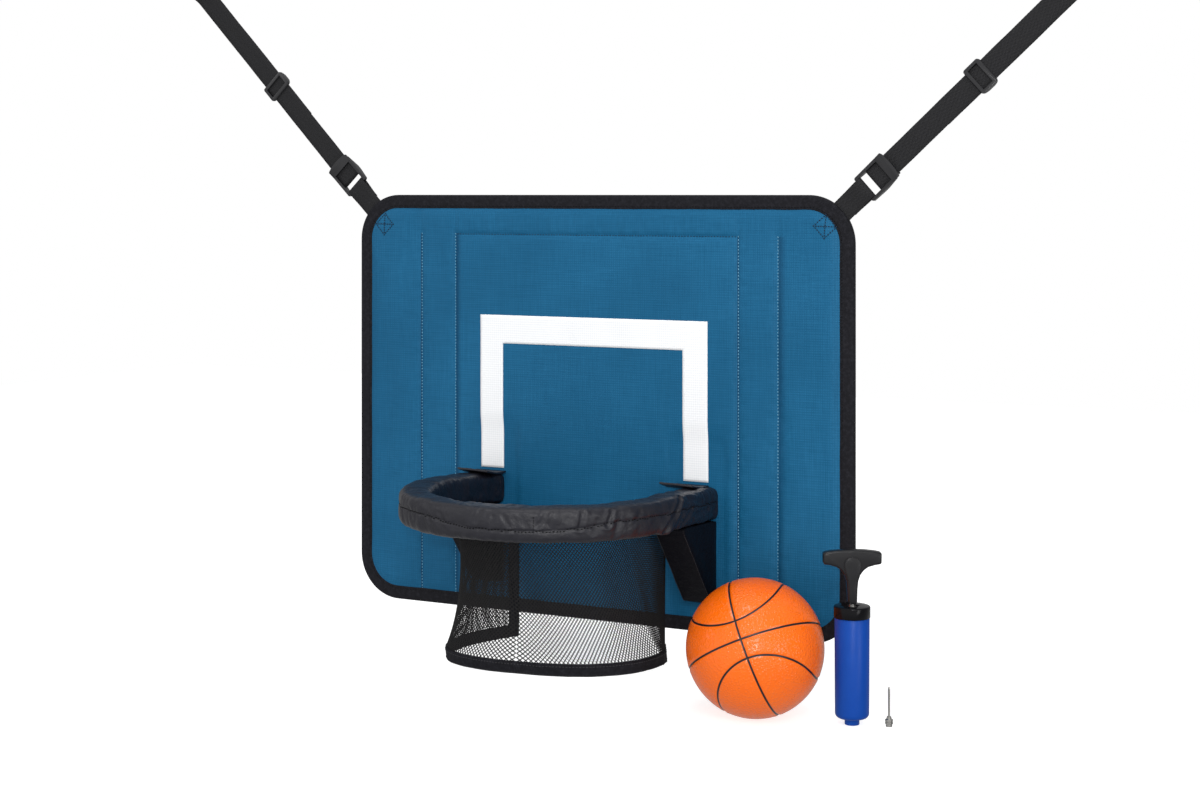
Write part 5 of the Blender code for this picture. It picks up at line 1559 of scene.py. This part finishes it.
def softened(node, name, width, *look):
    """A dressed copy of a bare solid with a bevel on its edges; look is its body, its finish and a slot
    name that nothing reads.
    """
    work = bmesh.new()
    work.from_mesh(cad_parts[node].data)
    bmesh.ops.remove_doubles(work, verts=work.verts, dist=0.02 * MM)
    bmesh.ops.dissolve_limit(work, angle_limit=math.radians(3), verts=work.verts, edges=work.edges)
    dress(soft_edges(to_object(name, work), width, angle=25, even=True), *look, node)


for side in SIDES:
    softened("ladder_lock_" + side, "buckle_" + side, 0.35 * MM, "root", BUCKLE, "buckle_plastic")
    softened("strap_slider_" + side, "tri_glide_" + side, 0.35 * MM, "slider_" + side, BUCKLE,
             "buckle_plastic")

# %% [markdown]
# ## The net's hems, and the tabs
#
# The lace is edged with the same black tape as the board, folded over its foot and its two free
# sides. The rim hangs from two short tabs that are sewn to the board and lie on the rim's ends.

# %% Tape along an edge of the net
HEM_THICKNESS = 1.8 * MM
HEM_FLUTTER = 0.9 * MM
HEM_FINE_FLUTTER = 0.5 * MM
HEM_SEAMS = (0.12, 0.85)
HEM_STATIONS = 120


def hem_strip(name, columns, rows, place, weave):
    """A flat tape along the net, with its thickness."""
    work = stretched_grid(columns, rows, place, weave)
    bmesh.ops.recalc_face_normals(work, faces=work.faces)
    return thicken(to_object(name, work), HEM_THICKNESS)


def net_hems():
    """The tape along the net's foot and its two free sides, as flat strips with a thickness."""
    steps, foot_rows = 220, 6
    side_columns, side_rows = 3, 60
    hem_share = HEM_WIDTH / NET_LENGTH
    hem_drop = HEM_WIDTH / NET_DROP

    def foot(column, row):
        share = -hem_share + (1 + 2 * hem_share) * column / steps
        flutter = HEM_FLUTTER * ripple((share * FOOT_LINE, row * 2 * MM, 0), 13, 2)
        flutter += HEM_FINE_FLUTTER * ripple((share * FOOT_LINE, row * 2 * MM, 0), 6, 7)
        return curtain(share, 1 + (hem_drop * row / foot_rows) - 0.01, flutter)

    strips = [hem_strip("foot", steps, foot_rows, foot,
                        lambda c, r: (FOOT_LINE * c / steps, HEM_WIDTH * r / foot_rows))]
    for end in (0, 1):
        def side(column, row, end=end):
            share = end + (2 * end - 1) * hem_share * column / side_columns
            return curtain(share, 0.1 + 0.92 * row / side_rows)

        strips.append(hem_strip("side", side_columns, side_rows, side,
                                lambda c, r: (NET_DROP * r / side_rows, HEM_WIDTH * c / side_columns)))
    work = bmesh.new()
    for strip in strips:
        work.from_mesh(strip.data)
        bpy.data.objects.remove(strip)
    return work


hems = to_object("net_hems", net_hems())
dress(hems, "hoop", TAPE, "binding_tape", "net_hem")
hem_rows = []
for down in HEM_SEAMS:
    drop = 1 + down * HEM_WIDTH / NET_DROP
    hem_rows.append([curtain(step / HEM_STATIONS, drop, 1.5 * MM) for step in range(HEM_STATIONS + 1)])
sew("hem_stitches", hem_rows, surface_of(hems), ("hoop", GREY_THREAD, "binding_tape"),
    length=2.5, radius=0.4)
for name in SIDES:
    half = bpy.data.objects["net_lace_" + name]

# %% The tabs on the rim's ends
TAB_LENGTH = 40 * MM
TAB_WIDTH = 38 * MM
TAB_THICKNESS = 2.2 * MM
TAB_LIFT = 3.2 * MM
TAB_SAG = 0.35
TAB_SIDE_DROP = 0.3
TAB_CURL = 0.5 * MM
TAB_MIDDLES = {"left": HOOP_X - RIM_END_X, "right": HOOP_X + RIM_END_X - 12 * MM}


def tab_skin(middle_x):
    """A stiff piece of nylon that rises off the rim towards its front, where it curls a little."""
    along, across = 20, 18

    def place(column, row):
        share = row / along
        side = 2 * column / across - 1
        reach = TAB_LENGTH * share
        sag = TAB_SAG * math.sin(math.pi * min(share * 1.25, 1))
        lift = TAB_LIFT * (share ** 3 - sag) * (1 - TAB_SIDE_DROP * side)
        curl = TAB_CURL * ripple((side * 20 * MM, reach, middle_x), 15, 6) * share
        z = HINGE_Z - TAB_THICKNESS / 2 + rim_rise(reach) + lift + curl
        return (middle_x + side * TAB_WIDTH / 2, CONTACT_Y - reach, z)

    def weave(column, row):
        return (TAB_LENGTH * row / along, TAB_WIDTH * column / across)

    work = stretched_grid(across, along, place, weave)
    bmesh.ops.recalc_face_normals(work, faces=work.faces)
    return work


for side, middle_x in TAB_MIDDLES.items():
    tab = soft_edges(thicken(to_object("hoop_tab_" + side, tab_skin(middle_x)), TAB_THICKNESS), 0.5 * MM)
    dress(tab, "hoop", NYLON, "rim_fabric", "rim_tab_" + side)

# %% [markdown]
# ## The ball
#
# A small vinyl ball with the lines of a basketball. Its surface is a sphere made of even triangles,
# and the lines come from one formula in the ball's own frame: two rings at right angles, and two
# curves that swing up and down as they go round. The same formula presses the grooves into the mesh
# and paints them black. The pebbles are small round bumps, which a cell pattern gives.

# %% The ball's frame and its lines
BALL_RADIUS = 68.8 * MM
FLOOR_Z = -290 * MM
BALL_CENTRE = Vector((224.5 * MM, -83 * MM, FLOOR_Z + BALL_RADIUS))
BALL_TURN = (69.8, -21.7, 19.1)
SIDE_LINE_LATITUDE = 30.5
SIDE_LINE_SWING = 14.5
ball_turn = Matrix.Identity(4)
for axis, angle in zip("XYZ", BALL_TURN):
    ball_turn = Matrix.Rotation(math.radians(angle), 4, axis) @ ball_turn
ball_frame = Matrix.Translation(BALL_CENTRE) @ ball_turn


def line_distance(point):
    """Millimetres along the ball's surface from a unit vector to the nearest line."""
    radius = BALL_RADIUS / MM
    latitude = math.asin(clamp(point.y, -1, 1))
    around = math.atan2(point.x, point.z)
    swing = math.radians(SIDE_LINE_LATITUDE - SIDE_LINE_SWING * math.cos(2 * around))
    slope = 2 * math.radians(SIDE_LINE_SWING) * math.sin(2 * around) / max(math.cos(latitude), 0.2)
    side_line = abs(abs(latitude) - swing) / math.hypot(1, slope)
    return radius * min(abs(latitude), abs(math.asin(clamp(point.x, -1, 1))), side_line)


# %% The pressed sphere
LINE_HALF_WIDTH = 1.05
LINE_DEPTH = 0.85
LIP_HEIGHT = 0.12
LIP_AT = 3.2
SEAT_DEPTH = 1.4
SEAT_RADIUS = 4.4


def ball_skin():
    work = bmesh.new()
    bmesh.ops.create_icosphere(work, subdivisions=7, radius=1)
    for vertex in work.verts:
        unit = vertex.co.normalized()
        away = line_distance(unit)
        off_valve = math.acos(clamp(-unit.z, -1, 1)) * BALL_RADIUS / MM
        press = LINE_DEPTH * bump(away, 1.3) - LIP_HEIGHT * bump(away - LIP_AT, 1.4)
        press += SEAT_DEPTH * bump(off_valve, SEAT_RADIUS, 4)
        vertex.co = unit * (BALL_RADIUS - press * MM)
    return moved(work, ball_frame)


def vinyl():
    """Orange vinyl with black lines and a pebbled surface, with painted shade between the pebbles and
    beside the lines.
    """
    finish = Finish("ball_vinyl", 0.24, Specular_IOR_Level=0.42)
    place = finish.node("ShaderNodeTexCoord", output="Object")
    turn = ball_turn.to_euler("XYZ")
    inverse = finish.node("ShaderNodeMapping", {"vector_type": "TEXTURE"},
                          {"Vector": place, "Location": BALL_CENTRE, "Rotation": turn})
    unit = finish.node("ShaderNodeVectorMath", {"operation": "NORMALIZE"}, {0: inverse})
    x, y, z = finish.parts(unit)
    latitude = y.maths("ARCSINE")
    flat = x * x + z * z + 0.0001
    double = (z * z - x * x) / flat
    swing = math.radians(SIDE_LINE_LATITUDE) - math.radians(SIDE_LINE_SWING) * double
    steep = 2 * math.radians(SIDE_LINE_SWING) * (2 * x * z / flat)
    slope = steep * steep / (flat + 0.02) + 1
    side_line = abs(abs(latitude) - swing) / slope.maths("SQRT")
    cross = abs(x.maths("ARCSINE"))
    nearest = side_line.maths("MINIMUM", abs(latitude).maths("MINIMUM", cross))
    away = nearest * (BALL_RADIUS / MM)
    line = finish.ease(away, LINE_HALF_WIDTH - 0.25, LINE_HALF_WIDTH + 0.25, 1, 0)
    sized = finish.scaled(unit, BALL_RADIUS / MM)
    cells = finish.node("ShaderNodeTexVoronoi", {"feature": "F1"},
                        {"Vector": sized, "Scale": 0.42, "Randomness": 0.85})
    pebble = finish.ease(cells, 0.1, 0.62, 1, 0) * (1 - line) * finish.ease(away, 1.4, 2.6)
    cloud = finish.noise(sized, 26, 3)
    orange = finish.mix(cloud, (0.97, 0.150, 0.001), (1.0, 0.180, 0.003))
    # Painted shade: the orange is darker between the pebbles and beside the lines, and full on the pebbles'
    # tops
    orange_with_painted_shade = finish.mix(pebble * 0.7, finish.mix(0.3, orange, (0.80, 0.09, 0.001)), orange)
    finish.paint(Base_Color=finish.mix(line, orange_with_painted_shade, (0.008, 0.006, 0.006)),
                 Roughness=0.2 + 0.08 * cloud + line * 0.1)
    finish.relief(pebble, 0.35)
    return finish.material


ball = to_object("ball_skin", ball_skin())
dress(ball, "ball", vinyl(), "ball_vinyl", "ball_shell")
print("ball", len(ball.data.polygons), "faces")

# %% The valve in the ball
VALVE_TOP = 68.4
# From the middle of its top outwards and down: distance off the axis and below the top
VALVE_SIDE = [(0, 2.2), (0.7, 2.1), (0.95, 0.3), (1.5, 0), (3.2, 0.05), (3.8, 0.5), (3.8, 5), (0, 5)]


def spun(profile, steps):
    """A shape turned from (radius, height) points in millimetres."""
    work = bmesh.new()
    points = [work.verts.new((radius * MM, 0, height * MM)) for radius, height in profile]
    edges = [work.edges.new(pair) for pair in zip(points, points[1:])]
    bmesh.ops.spin(work, geom=points + edges, axis=(0, 0, 1), cent=(0, 0, 0), steps=steps,
                   angle=2 * math.pi, use_merge=True)
    return welded(work, 0.005 * MM)


valve = spun([(radius, VALVE_TOP - depth) for radius, depth in VALVE_SIDE], 32)
moved(valve, ball_frame @ Matrix.Rotation(math.pi, 4, "X"))
dress(to_object("valve_plug", valve), "ball", RUBBER, "soft_rubber", "ball_valve")

# %% [markdown]
# ## The hand pump and its needle
#
# The pump's barrel and cap keep the bare model's shape with softened edges. Its handle is cut from
# two side outlines, one for the grip and one for the raised panel on it, and their edges are rounded.
# The rod and the needle are the bare solids themselves, painted as steel.

# %% The pump
PUMP_CENTRE = Vector((319.6 * MM, -63.6 * MM, FLOOR_Z))
PUMP_TURN = 28
softened("pump_barrel", "barrel_skin", 0.4 * MM, "pump", PUMP_BLUE, "pump_blue")
softened("pump_cap", "cap_skin", 0.4 * MM, "pump", PUMP_CAP, "pump_black")

# %% The pump's handle
# The right half of each outline from its top down, and the depths that it spans from front to back
HANDLE_SIDE = [(0, 171.6), (12, 171.2), (22, 170.2), (27.4, 169.1), (28.8, 167.6), (28.7, 159),
               (27.6, 157.4), (22, 156.5), (15.5, 154.6), (11.4, 151.6), (7.8, 147), (5.8, 141), (5.0, 133),
               (4.7, 124), (4.6, 118.3)]
PANEL_SIDE = [(0, 164.6), (3.8, 164.0), (6.6, 162.0), (8.2, 158.8), (8.4, 155.6), (7.2, 151), (5.4, 146),
              (4.1, 140.6), (3.4, 134), (3.3, 118.5)]
HANDLE_DEPTHS = (-5.6, 5.6)
PANEL_DEPTHS = (-6.9, -4)


def moulded_plate(half, front, back):
    """A plate with the given outline on both sides of its middle, between two depths in millimetres."""
    outline = half + [(-x, z) for x, z in reversed(half) if x > 0]
    work = bmesh.new()
    face = work.faces.new([work.verts.new((x * MM, front * MM, z * MM)) for x, z in outline])
    made = bmesh.ops.extrude_face_region(work, geom=[face])
    far_side = [part for part in made["geom"] if isinstance(part, bmesh.types.BMVert)]
    bmesh.ops.translate(work, vec=(0, (back - front) * MM, 0), verts=far_side)
    bmesh.ops.recalc_face_normals(work, faces=work.faces)
    return work


def pump_handle():
    grip = soft_edges(to_object("grip", moulded_plate(HANDLE_SIDE, *HANDLE_DEPTHS)), 2.2 * MM, 4, 50)
    panel = soft_edges(to_object("panel", moulded_plate(PANEL_SIDE, *PANEL_DEPTHS)), 0.6 * MM, 3, 50)
    work = bmesh.new()
    for part in (grip, panel):
        work.from_mesh(part.data)
        bpy.data.objects.remove(part)
    place = Matrix.Translation(PUMP_CENTRE) @ Matrix.Rotation(math.radians(PUMP_TURN), 4, "Z")
    return to_object("handle_skin", moved(work, place))


dress(pump_handle(), "plunger", PUMP_BLACK, "pump_black", "pump_handle")

# %% Finishes on the bare solids that need no second shape
BARE = [
    (SHEET_PLASTIC, "inner_plastic", ["core_board", "stay_left", "stay_right"]),
    (FOAM, "foam", ["rim_core", "wedge_foam_left", "wedge_foam_right"]),
    (RUBBER, "soft_rubber", ["check_valve", "piston_seal"]),
    (PUMP_BLACK, "pump_black", ["piston"]),
    (STEEL, "needle_steel", ["pump_rod", "needle_tube", "needle_base"]),
]
for material, slot, nodes in BARE:
    for node in nodes:
        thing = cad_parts[node]
        thing.data.materials.clear()
        thing.data.materials.append(material)
print(sum(len(nodes) for _, _, nodes in BARE), "bare solids painted")

# %% [markdown]
# ## The floor
#
# The ball, the pump and the needle stand on the floor. It is a plain pale sheet, bright enough to
# melt into the white room, so that only a trace of shadow lies under what stands on it. It keeps out
# of the reflections and bounced light, because the room's own light from below already stands for it.

# %% A plain pale floor
FLOOR_REACH = 3
floor_sheet = bmesh.new()
bmesh.ops.create_grid(floor_sheet, x_segments=1, y_segments=1, size=FLOOR_REACH)
bmesh.ops.translate(floor_sheet, vec=(0, 0, FLOOR_Z - 0.2 * MM), verts=floor_sheet.verts)
floor = to_object("pale_floor", floor_sheet)
pale = Finish("pale_floor", 0.9, Base_Color=(0.6, 0.6, 0.6, 1), Emission_Color=(1, 1, 1, 1),
              Emission_Strength=0.75, Specular_IOR_Level=0.1)
floor.data.materials.append(pale.material)
floor.visible_diffuse = False
floor.visible_glossy = False
floor.visible_shadow = False
